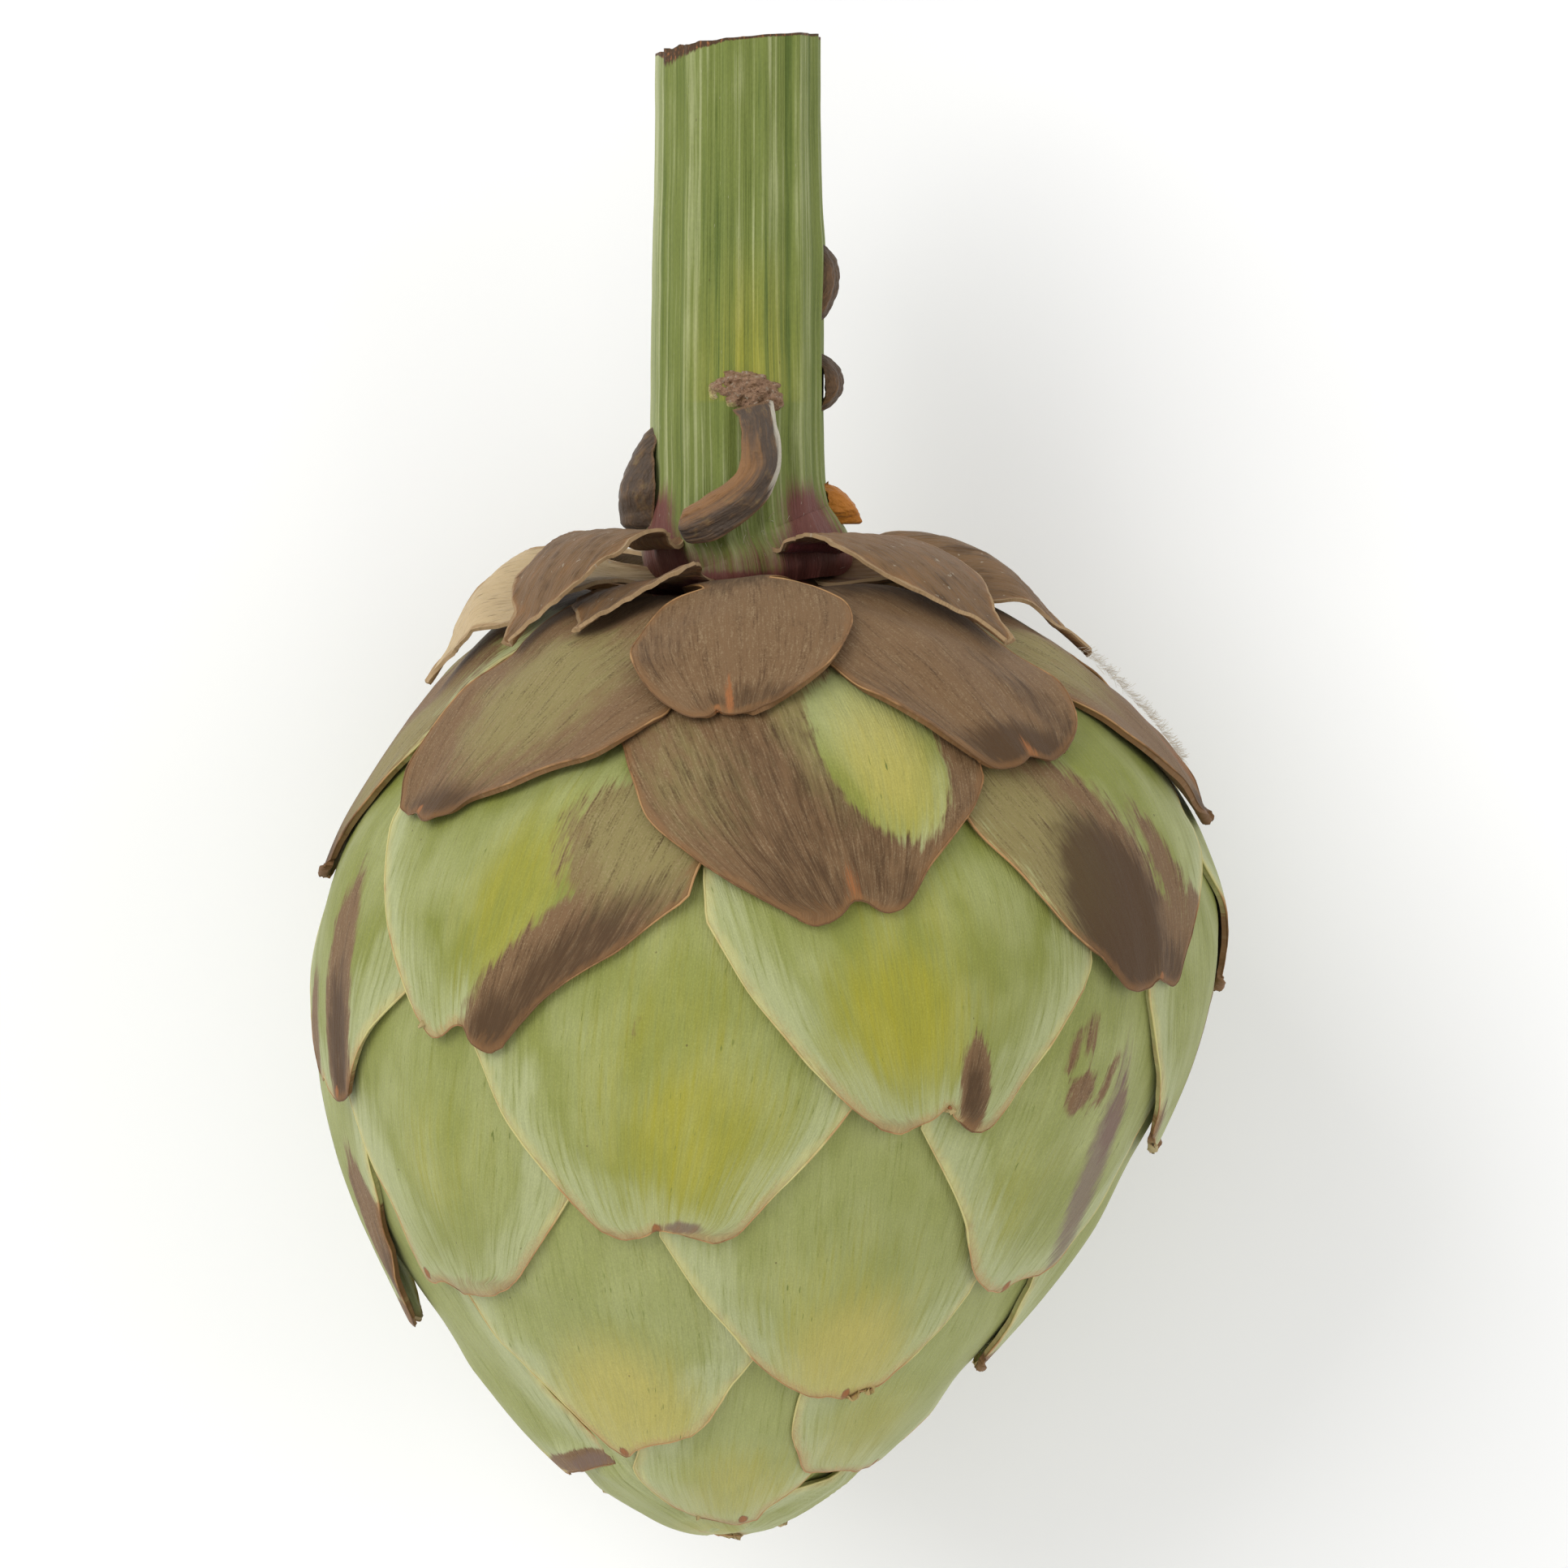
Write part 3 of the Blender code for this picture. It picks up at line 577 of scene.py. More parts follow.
class ArtichokeColours(bpy.types.PropertyGroup):
    green: colour("Green", "Fresh bract", (0.205, 0.224, 0.040))
    deep_green: colour("Deep green", "Darker fibres of a fresh bract", (0.140, 0.168, 0.034))
    grey_green: colour("Grey green", "Bloom on a fresh bract", (0.325, 0.345, 0.138))
    glow: colour("Yellow green", "Yellowest part of a bract", (0.335, 0.300, 0.018))
    tan: colour("Tan", "Warm part near an inner bract's tip", (0.430, 0.370, 0.095))
    taupe: colour("Taupe", "Browned bract", (0.172, 0.098, 0.044))
    olive: colour("Olive", "Bract that is turning brown", (0.232, 0.190, 0.070))
    dark_brown: colour("Dark brown", "Darkest stain", (0.062, 0.031, 0.011))
    violet: colour("Violet brown", "Violet tinge of a stain", (0.167, 0.110, 0.084))
    ember: colour("Orange brown", "Midrib and rim where they have dried", (0.290, 0.110, 0.035))
    cream: colour("Cream", "Fresh margin", (0.520, 0.470, 0.190))
    amber: colour("Amber", "Scale left beside the stem's foot", (0.480, 0.170, 0.015))
    straw: colour("Straw", "Palest dried bract", (0.520, 0.390, 0.220))
    stem_groove: colour("Stem groove", "Dark green between the ribs", (0.082, 0.118, 0.016))
    stem_green: colour("Stem green", "Middle green of the stem", (0.160, 0.195, 0.040))
    stem_rib: colour("Stem rib", "Pale ribs of the stem", (0.330, 0.355, 0.160))
    purple: colour("Purple", "Tinge at the stem's foot", (0.140, 0.032, 0.034))
    withered: colour("Withered", "Dry leaf on the stem", (0.075, 0.051, 0.035))
    pith: colour("Pith", "Middle of the cut", (0.422, 0.405, 0.238))
    # Bloom is also the colour of the painted sheen along the stem's sides
    bloom: colour("Bloom", "Grey-green skin beside the margins", (0.415, 0.440, 0.235))
    peach: colour("Peach", "Fresh margin near the tip", (0.420, 0.235, 0.095))
    crust: colour("Crust", "Dried crust of the leaf scar", (0.330, 0.200, 0.125))
    silver: colour("Silver", "Dry skin that has come loose", (0.480, 0.440, 0.350))
    rim_brown: colour("Rim brown", "Margin of a browned bract", (0.240, 0.118, 0.043))
    floor: colour("Floor", "Studio floor", (0.93, 0.93, 0.925))


def sizes():
    return bpy.context.scene.artichoke_sizes


def colours():
    return bpy.context.scene.artichoke_colours


# Outline

def curve_through(knots, steps=10):
    """Points of a smooth line through the knots."""
    knots = np.array(knots, float)
    padded = np.vstack((2 * knots[0] - knots[1], knots, 2 * knots[-1] - knots[-2]))
    f = np.linspace(0, 1, steps, endpoint=False)[:, None]
    spans = []
    for p0, p1, p2, p3 in zip(padded, padded[1:], padded[2:], padded[3:]):
        bend = 2 * p0 - 5 * p1 + 4 * p2 - p3
        twist = 3 * p1 - p0 - 3 * p2 + p3
        spans.append(0.5 * (2 * p1 + (p2 - p0) * f + bend * f ** 2 + twist * f ** 3))
    return np.vstack(spans + [knots[-1:]])


PROFILE = curve_through(OUTLINE)
ALONG = np.concatenate(([0], np.cumsum(np.hypot(*np.diff(PROFILE, axis=0).T))))
SLOPE = np.gradient(PROFILE, ALONG, axis=0)
SLOPE /= np.hypot(*SLOPE.T)[:, None]
REST_HEIGHT = PROFILE[:, 1].max() - PRESSED
BEND_LINE = curve_through(BEND)
BLADE_LINE = curve_through(BLADE)


def along_at(down):
    """How far along the outline, past the neck, lies a distance down from the shoulder."""
    shoulder = np.argmin(np.where(PROFILE[:, 1] > NECK_RADIUS, PROFILE[:, 0], HEAD_LENGTH))
    return float(np.interp(down, PROFILE[shoulder + 1:, 0], ALONG[shoulder + 1:]))


def down_at(along):
    return np.interp(along, ALONG, PROFILE[:, 0])


def radius_at(along):
    return np.interp(along, ALONG, PROFILE[:, 1])


def bend_at(down):
    """Sideways shift of the middle line at a distance down from the shoulder."""
    return np.interp(down, *BEND_LINE.T)


def stem_radius_at(down):
    return np.interp(down, *np.array(STEM_PROFILE).T)


def unit(vector):
    return vector / np.linalg.norm(vector)


def round_axis(down, turn, radius):
    """Points at a distance down from the shoulder, round the bent middle line."""
    aside = bend_at(down) + radius * np.sin(turn)
    return np.stack((aside, -down, REST_HEIGHT + radius * np.cos(turn)), -1)


def place(turn, along, depth):
    """Points sunk by a depth below the head's surface."""
    slope_down, slope_out = (np.interp(along, ALONG, column) for column in SLOPE.T)
    radius = np.maximum(radius_at(along) - slope_down * depth, 0)
    return round_axis(down_at(along) + slope_out * depth, turn, radius)


def ease(value):
    """Smooth step from 0 to 1."""
    value = np.clip(value, 0, 1)
    return value * value * (3 - 2 * value)


def wander(seed, place, wave):
    """A smooth random line, from about -1 to 1, that changes over the given wave length."""
    pick = random.Random(seed)
    total = np.zeros_like(np.asarray(place, float))
    for share in (1.0, 0.53, 0.27):
        phase = pick.uniform(0, 2 * math.pi)
        total = total + share * np.sin(2 * math.pi * place / (wave * share) + phase)
    return total / 1.8


# Bracts

def make_bract(name, turn, tip, width, lean, lift, base, dried=False):
    tip = along_at(tip)
    base_width = DRIED_BASE_WIDTH if dried else BASE_WIDTH
    return Bract(
        name, math.radians(turn), tip, max(base, tip - LONGEST), width, base_width * width,
        math.radians(lean), lift, dried,
    )


def all_bracts():
    """Every bract from the outermost to the innermost, as the solids have them."""
    pick = random.Random(SPIRAL_SEED)
    rows = list(SEEN)
    widths = np.array(HIDDEN_WIDTH, float)
    for turn, first in HIDDEN_COLUMNS:
        for row in range(HIDDEN_ROWS):
            tip = min(first + row * ROW_STEP + pick.uniform(-TIP_JITTER, TIP_JITTER), LAST_TIP)
            around = turn + row * ROW_TURN + pick.uniform(-TURN_JITTER, TURN_JITTER)
            rows.append((around, tip, float(np.interp(tip, *widths.T)), 0, HIDDEN_LIFT))
    rows.sort(key=lambda row: row[1])
    dried = [
        make_bract(f"dried_bract_{n}", *row, DRIED_BASE + DRIED_BASE_STEP * (n - 1), True)
        for n, row in enumerate(DRIED, 1)
    ]
    fresh = [
        make_bract(f"bract_{n:02d}", *row, FIRST_BASE + BASE_STEP * (n - 1))
        for n, row in enumerate(rows, 1)
    ]
    return dried + fresh


def half_width(bract, from_tip):
    """Half width of the blade at a distance from its tip."""
    squeeze = min(1.0, bract.length / FULL_LENGTH)
    knots = BLADE_LINE * (squeeze, bract.width)
    widest = knots[-1, 0]
    near_tip = np.interp(from_tip, *knots.T)
    share = np.clip((from_tip - widest) / (bract.length - widest), 0, 1)
    return near_tip + (bract.base_width - bract.width) * share ** BASE_TAPER


def local(bract, turn, along):
    """A point's distance sideways from the bract's middle line, and from its tip."""
    from_tip = bract.tip - along
    around = turn - bract.turn - bract.lean * bract.share(from_tip)
    around = (around + math.pi) % (2 * math.pi) - math.pi
    return around * radius_at(along), from_tip


def blade_thickness(bract, sideways, from_tip):
    if bract.dried:
        return np.full_like(sideways, DRIED_THICK)
    edge = sizes().edge_thick / MM
    middle = np.clip(1 - (sideways / half_width(bract, from_tip)) ** 2, 0, 1)
    return edge + (BASE_THICK - edge) * bract.share(from_tip) * middle


def covered(bract, turn, along):
    """1 under the bract and at its edge, easing to 0 further out."""
    sideways, from_tip = local(bract, turn, along)
    beside = np.maximum(np.abs(sideways) - half_width(bract, from_tip), 0)
    before = np.maximum(-from_tip, 0)
    behind = np.maximum(from_tip - bract.length, 0)
    outside = np.sqrt(beside ** 2 + before ** 2 + behind ** 2)
    reach = DRIED_REACH if bract.dried else REACH
    reach = reach * np.clip((ALONG[-1] - along) / REACH_FADE, LEAST_REACH, 1)
    return 1 - ease((outside - SPILL) / reach)


def layer_depth(above, turn, along):
    """Depth below the head's surface of what lies under the given bracts, and how bare it is."""
    below = -place(turn, along, np.zeros_like(turn))[..., 2]
    depth = np.maximum(below - PRESS_SLACK, 0)
    bare = np.ones_like(turn)
    gap = sizes().layer_gap / MM
    for bract in above:
        cover = covered(bract, turn, along)
        if cover.max() > 0:
            depth = depth + cover * (blade_thickness(bract, *local(bract, turn, along)) + gap)
            bare = bare * (1 - cover)
    return depth, bare


def lift_of(bract, from_tip):
    """How far the blade stands up from the head, by distance from its tip."""
    if bract.dried:
        arch = np.sin(math.pi * np.clip(1 + HUMP_START - bract.share(from_tip), 0, 1) ** HUMP_SKEW)
        return bract.lift * arch + DRIED_THICK + sizes().layer_gap / MM
    return bract.lift * (1 - np.clip(from_tip / LIFT_LENGTH, 0, 1)) ** 2


def crowded(count, crowding):
    """Places from -1 to 1, closer together towards both ends."""
    even = np.linspace(-1, 1, count)
    return np.sin(even * math.pi / 2 * crowding) / math.sin(math.pi / 2 * crowding)


def traced_places(bract, across, share):
    """Places sideways and from the tip on a blade whose margins are listed."""
    left, tip, right = (curve_through(line, 6) for line in MARGINS[bract.number])
    down = share ** TIP_CROWDING
    margins = []
    for line, side in ((left, -1), (right, 1)):
        line = line[np.argsort(line[:, 1])]
        from_tip = line[0, 1] + (bract.length - line[0, 1]) * down
        traced = np.interp(from_tip, line[:, 1], line[:, 0])
        ended = ease((from_tip - line[-1, 1]) / MARGIN_FADE)
        margins.append((traced + (side * half_width(bract, from_tip) - traced) * ended, from_tip))
    far = np.concatenate(([0], np.cumsum(np.hypot(*np.diff(tip, axis=0).T))))
    part = (across + 1) / 2
    fade = np.exp(-bract.length * down / TIP_FADE)
    places = []
    for axis in (0, 1):
        edge = np.interp(part, far / far[-1], tip[:, axis])
        chord = tip[0, axis] + (tip[-1, axis] - tip[0, axis]) * part
        between = (1 - part) * margins[0][axis] + part * margins[1][axis]
        places.append(between + (edge - chord) * fade)
    return places


def usual_places(bract, across, share):
    """Places sideways and from the tip on a blade with a notched tip between two lobes."""
    from_tip = bract.length * share ** TIP_CROWDING
    notch_depth, notch_half, left_lobe, right_lobe = TIPS.get(bract.number, USUAL_TIP)
    side = np.sign(across)
    waver = wander(bract.number * 7 + 1, from_tip * side + 40, 11.0) * np.clip(from_tip / 6, 0, 1)
    sideways = across * half_width(bract, from_tip) * (1 + 0.012 * waver)
    at_tip = np.exp(-from_tip / TIP_FADE)
    lobes = np.where(across < 0, left_lobe, right_lobe) * np.sin(math.pi * np.abs(across) ** 0.8)
    notch = notch_depth * np.exp(-(sideways / notch_half) ** 2)
    return sideways, from_tip - (lobes - 1.3 * np.abs(across) ** 3 - notch) * at_tip


def bract_blade(bract, above):
    """A fresh bract's outer surface: points, thickness, what its finish reads, and its tip's places."""
    seed = bract.number * 7
    columns = sizes().grid
    rows = int(columns * ROWS_TO_COLUMNS)
    across, share = np.meshgrid(crowded(columns + 1, 0.86), np.linspace(0, 1, rows + 1))
    laid = traced_places if bract.number in MARGINS else usual_places
    sideways, from_tip = laid(bract, across, share)
    from_tip = from_tip - 0.06 * wander(seed + 2, sideways, 2.6) * np.exp(-from_tip / TIP_FADE)
    along = bract.tip - from_tip
    turn = bract.turn + bract.lean * bract.share(from_tip) + sideways / radius_at(along)
    below_tip = np.maximum(from_tip, 0)

    depth, bare = layer_depth(above, turn, along)
    loose = (1.0 if bract.browned else 0.15) * np.abs(across) ** 5
    loose = loose * ease(1.4 - share * 1.6) * ease(from_tip / 6)
    rise = (STANDS.get(bract.number, USUAL_STAND) * lift_of(bract, below_tip) + loose) * bare
    keel = KEEL_HEIGHT * np.exp(-(sideways / 1.3) ** 2 - below_tip / 9)
    swell = SWELL_HEIGHT * wander(seed + 3, sideways + 3 * share, 17.0) * np.clip(1 - across ** 4, 0, 1)
    veins = VEIN_HEIGHT * wander(seed + 4, sideways, 3.1)
    points = place(turn, along, depth - rise - (keel + swell + veins) * bare)
    raised = np.maximum(-points[..., 2], 0)
    points[..., 2] += raised
    thin = 1 - 0.35 * np.exp(-below_tip / 2.5)
    thickness = np.maximum(blade_thickness(bract, sideways, below_tip) * thin - raised, THINNEST)

    rim = rim_distance(points)
    rounding = ROUNDING * (1 - np.clip(rim / ROUNDED_WIDTH, 0, 1)) ** 2
    points += inward(points) * rounding[..., None]
    return points, thickness, marks_of(bract, sideways, from_tip, rim), sideways[0]


def round_tip(grid, rows):
    """The grid's margin from one side round the tip to the other, over so many rows."""
    return np.concatenate((grid[rows - 1::-1, 0], grid[0, 1:-1], grid[:rows, -1]))


def rim_distance(points):
    """Distance of each grid point from the blade's margin, its base left out."""
    line = round_tip(points, len(points))
    flat = points.reshape(-1, 3)
    nearest = np.full(len(flat), np.inf)
    for start, end in zip(line, line[1:]):
        step = end - start
        share = np.clip((flat - start) @ step / max(step @ step, 1e-12), 0, 1)
        away = flat - start - share[:, None] * step
        nearest = np.minimum(nearest, np.einsum("ij,ij->i", away, away))
    return np.sqrt(nearest).reshape(points.shape[:2])


def inward(points):
    """Unit vectors from the grid points into the head."""
    rows = np.gradient(points, axis=0)
    columns = np.gradient(points, axis=1)
    normal = np.cross(rows, columns)
    normal /= np.maximum(np.linalg.norm(normal, axis=-1, keepdims=True), 1e-9)
    middle = tuple(n // 2 for n in points.shape[:2])
    to_axis = np.array((bend_at(-points[middle][1]), points[middle][1], REST_HEIGHT)) - points[middle]
    return normal if normal[middle] @ to_axis > 0 else -normal


def mark(sideways, from_tip, place_across, place_down, half_across, half_down, turn):
    """1 in the middle of a mark, 0.5 at its edge, 0 half its size further out."""
    angle = math.radians(turn)
    u = sideways - place_across
    v = from_tip - place_down
    u, v = u * math.cos(angle) + v * math.sin(angle), v * math.cos(angle) - u * math.sin(angle)
    return np.clip(1.5 - np.hypot(u / half_across, v / half_down), 0, 1)


def hidden_marks(number, brown):
    """Stains for a bract of the underside, alike to those of the upper side."""
    pick = random.Random(number * 31)
    if brown:
        return (
            ("brown", 0, 14, 30, 34, 0, pick.uniform(0.95, 1.3)),
            ("dark", pick.uniform(-3, 3), 2, 9, 5, 0, 0.9),
            ("olive", pick.uniform(-5, 5), 17, 9, 9, 0, pick.uniform(0.2, 0.9)),
        )
    found = [("glow", pick.uniform(-5, 5), pick.uniform(11, 17), 7, 9, 0, pick.uniform(0.2, 0.9))]
    if pick.random() < 0.5:
        side = pick.choice((-1, 1)) * pick.uniform(3, 12)
        where = pick.uniform(3, 12), pick.uniform(2, 5), pick.uniform(6, 12)
        found.append(("brown", side, *where, -3 * side, 1.3))
        found.append(("dark", side, 4, 3, 7, -3 * side, 0.9))
    return tuple(found)


def marks_of(bract, sideways, from_tip, rim):
    """The values that a fresh bract's finish reads at each point of its blade."""
    below_tip = np.maximum(from_tip, 0)
    values = {name: np.zeros_like(sideways) for name in TONES}
    values["pale"] += np.clip((bract.tip_down - 55) / 90, 0, 0.55)
    spine = SPINES.get(bract.number, 0.0)
    dried = (("ember", spine, 0.7, 0.45, 0.8, 0, 1.2), ("brown", spine, 0.7, 0.5, 0.85, 0, 1.15))
    marks = MARKS.get(bract.number) or hidden_marks(bract.number, bract.browned)
    for name, *where, strength in marks + dried:
        values[name] = np.maximum(values[name], strength * mark(sideways, from_tip, *where))
    values["brown"] = np.clip(values["brown"] - values["fresh"], 0, 1.2)
    near_stem = np.clip((BROWN_FOOT - bract.tip + from_tip) / BROWN_FADE, 0, 1.2)
    values["brown"] = np.maximum(values["brown"], near_stem)
    values["dark"] = np.maximum(values["dark"], 0.7 * near_stem)
    values["rim"] = rim
    values["tip"] = np.exp(-below_tip / 7.0)
    gathered = sideways / np.maximum(half_width(bract, below_tip), 1) * bract.width
    fibre = sideways + 0.45 * (gathered - sideways)
    values["fibres"] = np.stack((fibre, from_tip, np.full_like(fibre, bract.number * FIBRE_STEP)), -1)
    return values


# Meshes

def frame_mesh(name, points, faces=(), edges=()):
    """A mesh in metres of the frame, from points in millimetres of the outline."""
    mesh = bpy.data.meshes.new(name)
    mesh.from_pydata(((np.asarray(points) + TO_FRAME) * MM).tolist(), edges, faces)
    mesh.update()
    return mesh


def chain(first, count):
    """Edges that join a run of points in their order."""
    return [(n, n + 1) for n in range(first, first + count - 1)]


def grid_faces(rows, columns, closed=False):
    """Quads of a grid of points, or of a tube where its rows are closed."""
    last = columns if closed else columns - 1
    faces = []
    for row in range(rows - 1):
        for n in range(last):
            a, b = row * columns + n, row * columns + (n + 1) % columns
            faces.append((a, b, b + columns, a + columns))
    return faces


def closed_tube(name, rings):
    """A mesh from rings of points, with a face across the first ring and across the last."""
    rows, columns = len(rings), len(rings[0])
    faces = grid_faces(rows, columns, closed=True)
    faces.append(tuple(range(columns))[::-1])
    faces.append(tuple(range((rows - 1) * columns, rows * columns)))
    return frame_mesh(name, np.reshape(rings, (-1, 3)), faces)


def points_of(mesh):
    """The mesh's points, one to a row, in metres of the frame."""
    points = np.empty(len(mesh.vertices) * 3)
    mesh.vertices.foreach_get("co", points)
    return points.reshape(-1, 3)


def move_points(mesh, points):
    mesh.vertices.foreach_set("co", np.ravel(points))
    mesh.update()


def store(mesh, values):
    """Puts values on the mesh's points: numbers, or vectors of three."""
    for name, value in values.items():
        flat = np.asarray(value, float)
        vector = flat.ndim > 1 and flat.shape[-1] == 3 and flat.size == 3 * len(mesh.vertices)
        kind, key = ("FLOAT_VECTOR", "vector") if vector else ("FLOAT", "value")
        mesh.attributes.new(name, kind, "POINT").data.foreach_set(key, flat.ravel())


def shown(name, mesh, material=None):
    obj = bpy.data.objects.new(name, mesh)
    bpy.context.scene.collection.objects.link(obj)
    if material:
        mesh.materials.append(material)
    return obj


def finished(obj):
    """Makes the object's modifiers part of its mesh."""
    graph = bpy.context.evaluated_depsgraph_get()
    mesh = bpy.data.meshes.new_from_object(obj.evaluated_get(graph))
    obj.modifiers.clear()
    old, obj.data = obj.data, mesh
    bpy.data.meshes.remove(old)
    mesh.name = obj.name
    return obj


def sheet(name, points, thickness, values, material, sharp=50):
    """A thin closed piece from a grid of outer points, given its thickness inwards."""
    rows, columns = points.shape[:2]
    thickness = np.broadcast_to(thickness, (rows, columns))
    faces = grid_faces(rows, columns)
    a, b, c = (points.reshape(-1, 3)[faces[len(faces) // 2][n]] for n in range(3))
    way = inward(points)[rows // 2, columns // 2]
    if np.cross(b - a, c - b) @ way > 0:
        faces = [face[::-1] for face in faces]
    mesh = frame_mesh(name, points.reshape(-1, 3), faces)
    store(mesh, {
        key: value.reshape(-1, 3) if value.ndim > 2 else value.ravel() for key, value in values.items()
    })
    obj = shown(name, mesh, material)
    most = float(np.max(thickness))
    group = obj.vertex_groups.new(name="thickness")
    for index, value in enumerate(np.ravel(thickness)):
        group.add([index], float(value) / most, "REPLACE")
    solid = obj.modifiers.new("thickness", "SOLIDIFY")
    solid.thickness = most * MM
    solid.offset = -1.0
    solid.vertex_group = group.name
    finished(obj)
    obj.data.shade_smooth()
    obj.data.set_sharp_from_angle(angle=math.radians(sharp))
    return obj


def keep_off_floor(obj):
    """Presses flat whatever would reach below the floor."""
    points = points_of(obj.data)
    points[:, 2] = np.maximum(points[:, 2], 0.0)
    move_points(obj.data, points)


def belongs(obj, slot, *nodes):
    """The piece rides with the artichoke and stands for these solids."""
    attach(obj, "root")
    if nodes:
        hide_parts(*nodes)
    return obj


# Geometry trees

class Growth:
    """A Geometry Nodes tree with named inputs, which ends in its own material."""

    def __init__(self, name):
        self.tree = bpy.data.node_groups.new(name, "GeometryNodeTree")
        face = self.tree.interface
        face.new_socket("Geometry", in_out="INPUT", socket_type="NodeSocketGeometry")
        face.new_socket("Geometry", in_out="OUTPUT", socket_type="NodeSocketGeometry")
        self.entry = self.tree.nodes.new("NodeGroupInput")
        self.base = self.entry.outputs[0]
        self.sockets = {}

    def number(self, name, value, kind="NodeSocketFloat"):
        """Adds a named input and gives its socket inside the tree."""
        socket = self.tree.interface.new_socket(name, in_out="INPUT", socket_type=kind)
        socket.default_value = value
        self.sockets[name] = socket.identifier
        return next(s for s in self.entry.outputs if s.identifier == socket.identifier)

    def add(self, kind, inputs=(), **settings):
        node = self.tree.nodes.new(kind)
        for key, value in settings.items():
            setattr(node, key, value)
        by_name = {socket.identifier: socket for socket in node.inputs}
        for key, value in dict(inputs).items():
            socket = node.inputs[key] if isinstance(key, int) else by_name[key]
            if isinstance(value, bpy.types.NodeSocket):
                self.tree.links.new(value, socket)
            else:
                socket.default_value = value
        return node

    def math(self, operation, first, second=0.0):
        return self.add("ShaderNodeMath", {0: first, 1: second}, operation=operation).outputs[0]

    def value(self, name, data_type="FLOAT"):
        return self.add("GeometryNodeInputNamedAttribute", {"Name": name}, data_type=data_type).outputs[0]

    def end(self, geometry, material):
        """Realizes, smooths and colours the geometry, and closes the tree."""
        real = self.add("GeometryNodeRealizeInstances", {"Geometry": geometry}).outputs[0]
        smooth = self.add("GeometryNodeSetShadeSmooth", {"Geometry": real}).outputs[0]
        painted = self.add("GeometryNodeSetMaterial", {"Geometry": smooth, "Material": material})
        leave = self.tree.nodes.new("NodeGroupOutput")
        self.tree.links.new(painted.outputs[0], leave.inputs[0])

    def grow(self, obj, values=None):
        """Runs the tree on the object and keeps what it makes as a plain mesh."""
        modifier = obj.modifiers.new(self.tree.name, "NODES")
        modifier.node_group = self.tree
        for name, value in (values or {}).items():
            modifier[self.sockets[name]] = value
        return finished(obj)


def swept(growth, ring):
    """The ring drawn along the base's lines, scaled by the girth that their points carry."""
    line = growth.add("GeometryNodeMeshToCurve", {"Mesh": growth.base}).outputs[0]
    return growth.add(
        "GeometryNodeCurveToMesh",
        {"Curve": line, "Profile Curve": ring, "Scale": growth.value("girth"), "Fill Caps": True},
    ).outputs[0]


def facing(growth):
    """The rotation of each of the base's points, from the direction that it carries."""
    way = growth.value("direction", "FLOAT_VECTOR")
    return growth.add("FunctionNodeAlignRotationToVector", {"Vector": way}, axis="Z").outputs[0]


def standing(growth, shape, turned):
    """Copies of a shape on the base's points, turned and scaled by their size."""
    return growth.add(
        "GeometryNodeInstanceOnPoints",
        {"Points": growth.base, "Instance": shape, "Rotation": turned, "Scale": growth.value("size")},
    ).outputs[0]


def swept_stem(material):
    """A ribbed stalk along a line of points that carry their radius as girth."""
    growth = Growth("ribbed_stem")
    ribs = growth.number("Ribs", 13.0)
    height = growth.number("Rib height", 0.03)
    count = growth.number("Points round", 234, "NodeSocketInt")
    ring = growth.add("GeometryNodeCurvePrimitiveCircle", {"Resolution": count, "Radius": 1.0}).outputs[0]
    index = growth.add("GeometryNodeInputIndex").outputs[0]
    angle = growth.math("MULTIPLY", growth.math("DIVIDE", index, count), 2 * math.pi)
    main = growth.math("COSINE", growth.math("MULTIPLY", angle, ribs))
    between = growth.math("SINE", growth.math("MULTIPLY", angle, growth.math("MULTIPLY", ribs, 2.0)))
    slow = growth.math("SINE", growth.math("ADD", growth.math("MULTIPLY", angle, 5.0), 1.0))
    wave = growth.math("ADD", main, growth.math("MULTIPLY", between, 0.45))
    wave = growth.math("ADD", wave, growth.math("MULTIPLY", slow, 0.5))
    swell = growth.math("ADD", growth.math("MULTIPLY", wave, height), 1.0)
    place_now = growth.add("GeometryNodeInputPosition").outputs[0]
    outward = growth.add(
        "ShaderNodeVectorMath", {0: place_now, "Scale": swell}, operation="SCALE",
    ).outputs[0]
    ring = growth.add("GeometryNodeSetPosition", {"Geometry": ring, "Position": outward}).outputs[0]
    growth.end(swept(growth, ring), material)
    return growth


def rim_beads(material):
    """A thin bead along lines of points that carry their own girth."""
    growth = Growth("bract_rims")
    radius = growth.number("Radius", 0.00017)
    sides = growth.number("Sides", 6, "NodeSocketInt")
    ring = growth.add("GeometryNodeCurvePrimitiveCircle", {"Resolution": sides, "Radius": radius}).outputs[0]
    growth.end(swept(growth, ring), material)
    return growth


def tip_spines(material):
    """A small cone on each point, along the direction that it carries."""
    growth = Growth("tip_spines")
    length = growth.number("Length", 0.0015)
    width = growth.number("Radius", 0.00022)
    cone = growth.add(
        "GeometryNodeMeshCone",
        {"Vertices": 8, "Side Segments": 3, "Radius Top": 0.00002, "Radius Bottom": width, "Depth": length},
    ).outputs[0]
    growth.end(standing(growth, cone, facing(growth)), material)
    return growth


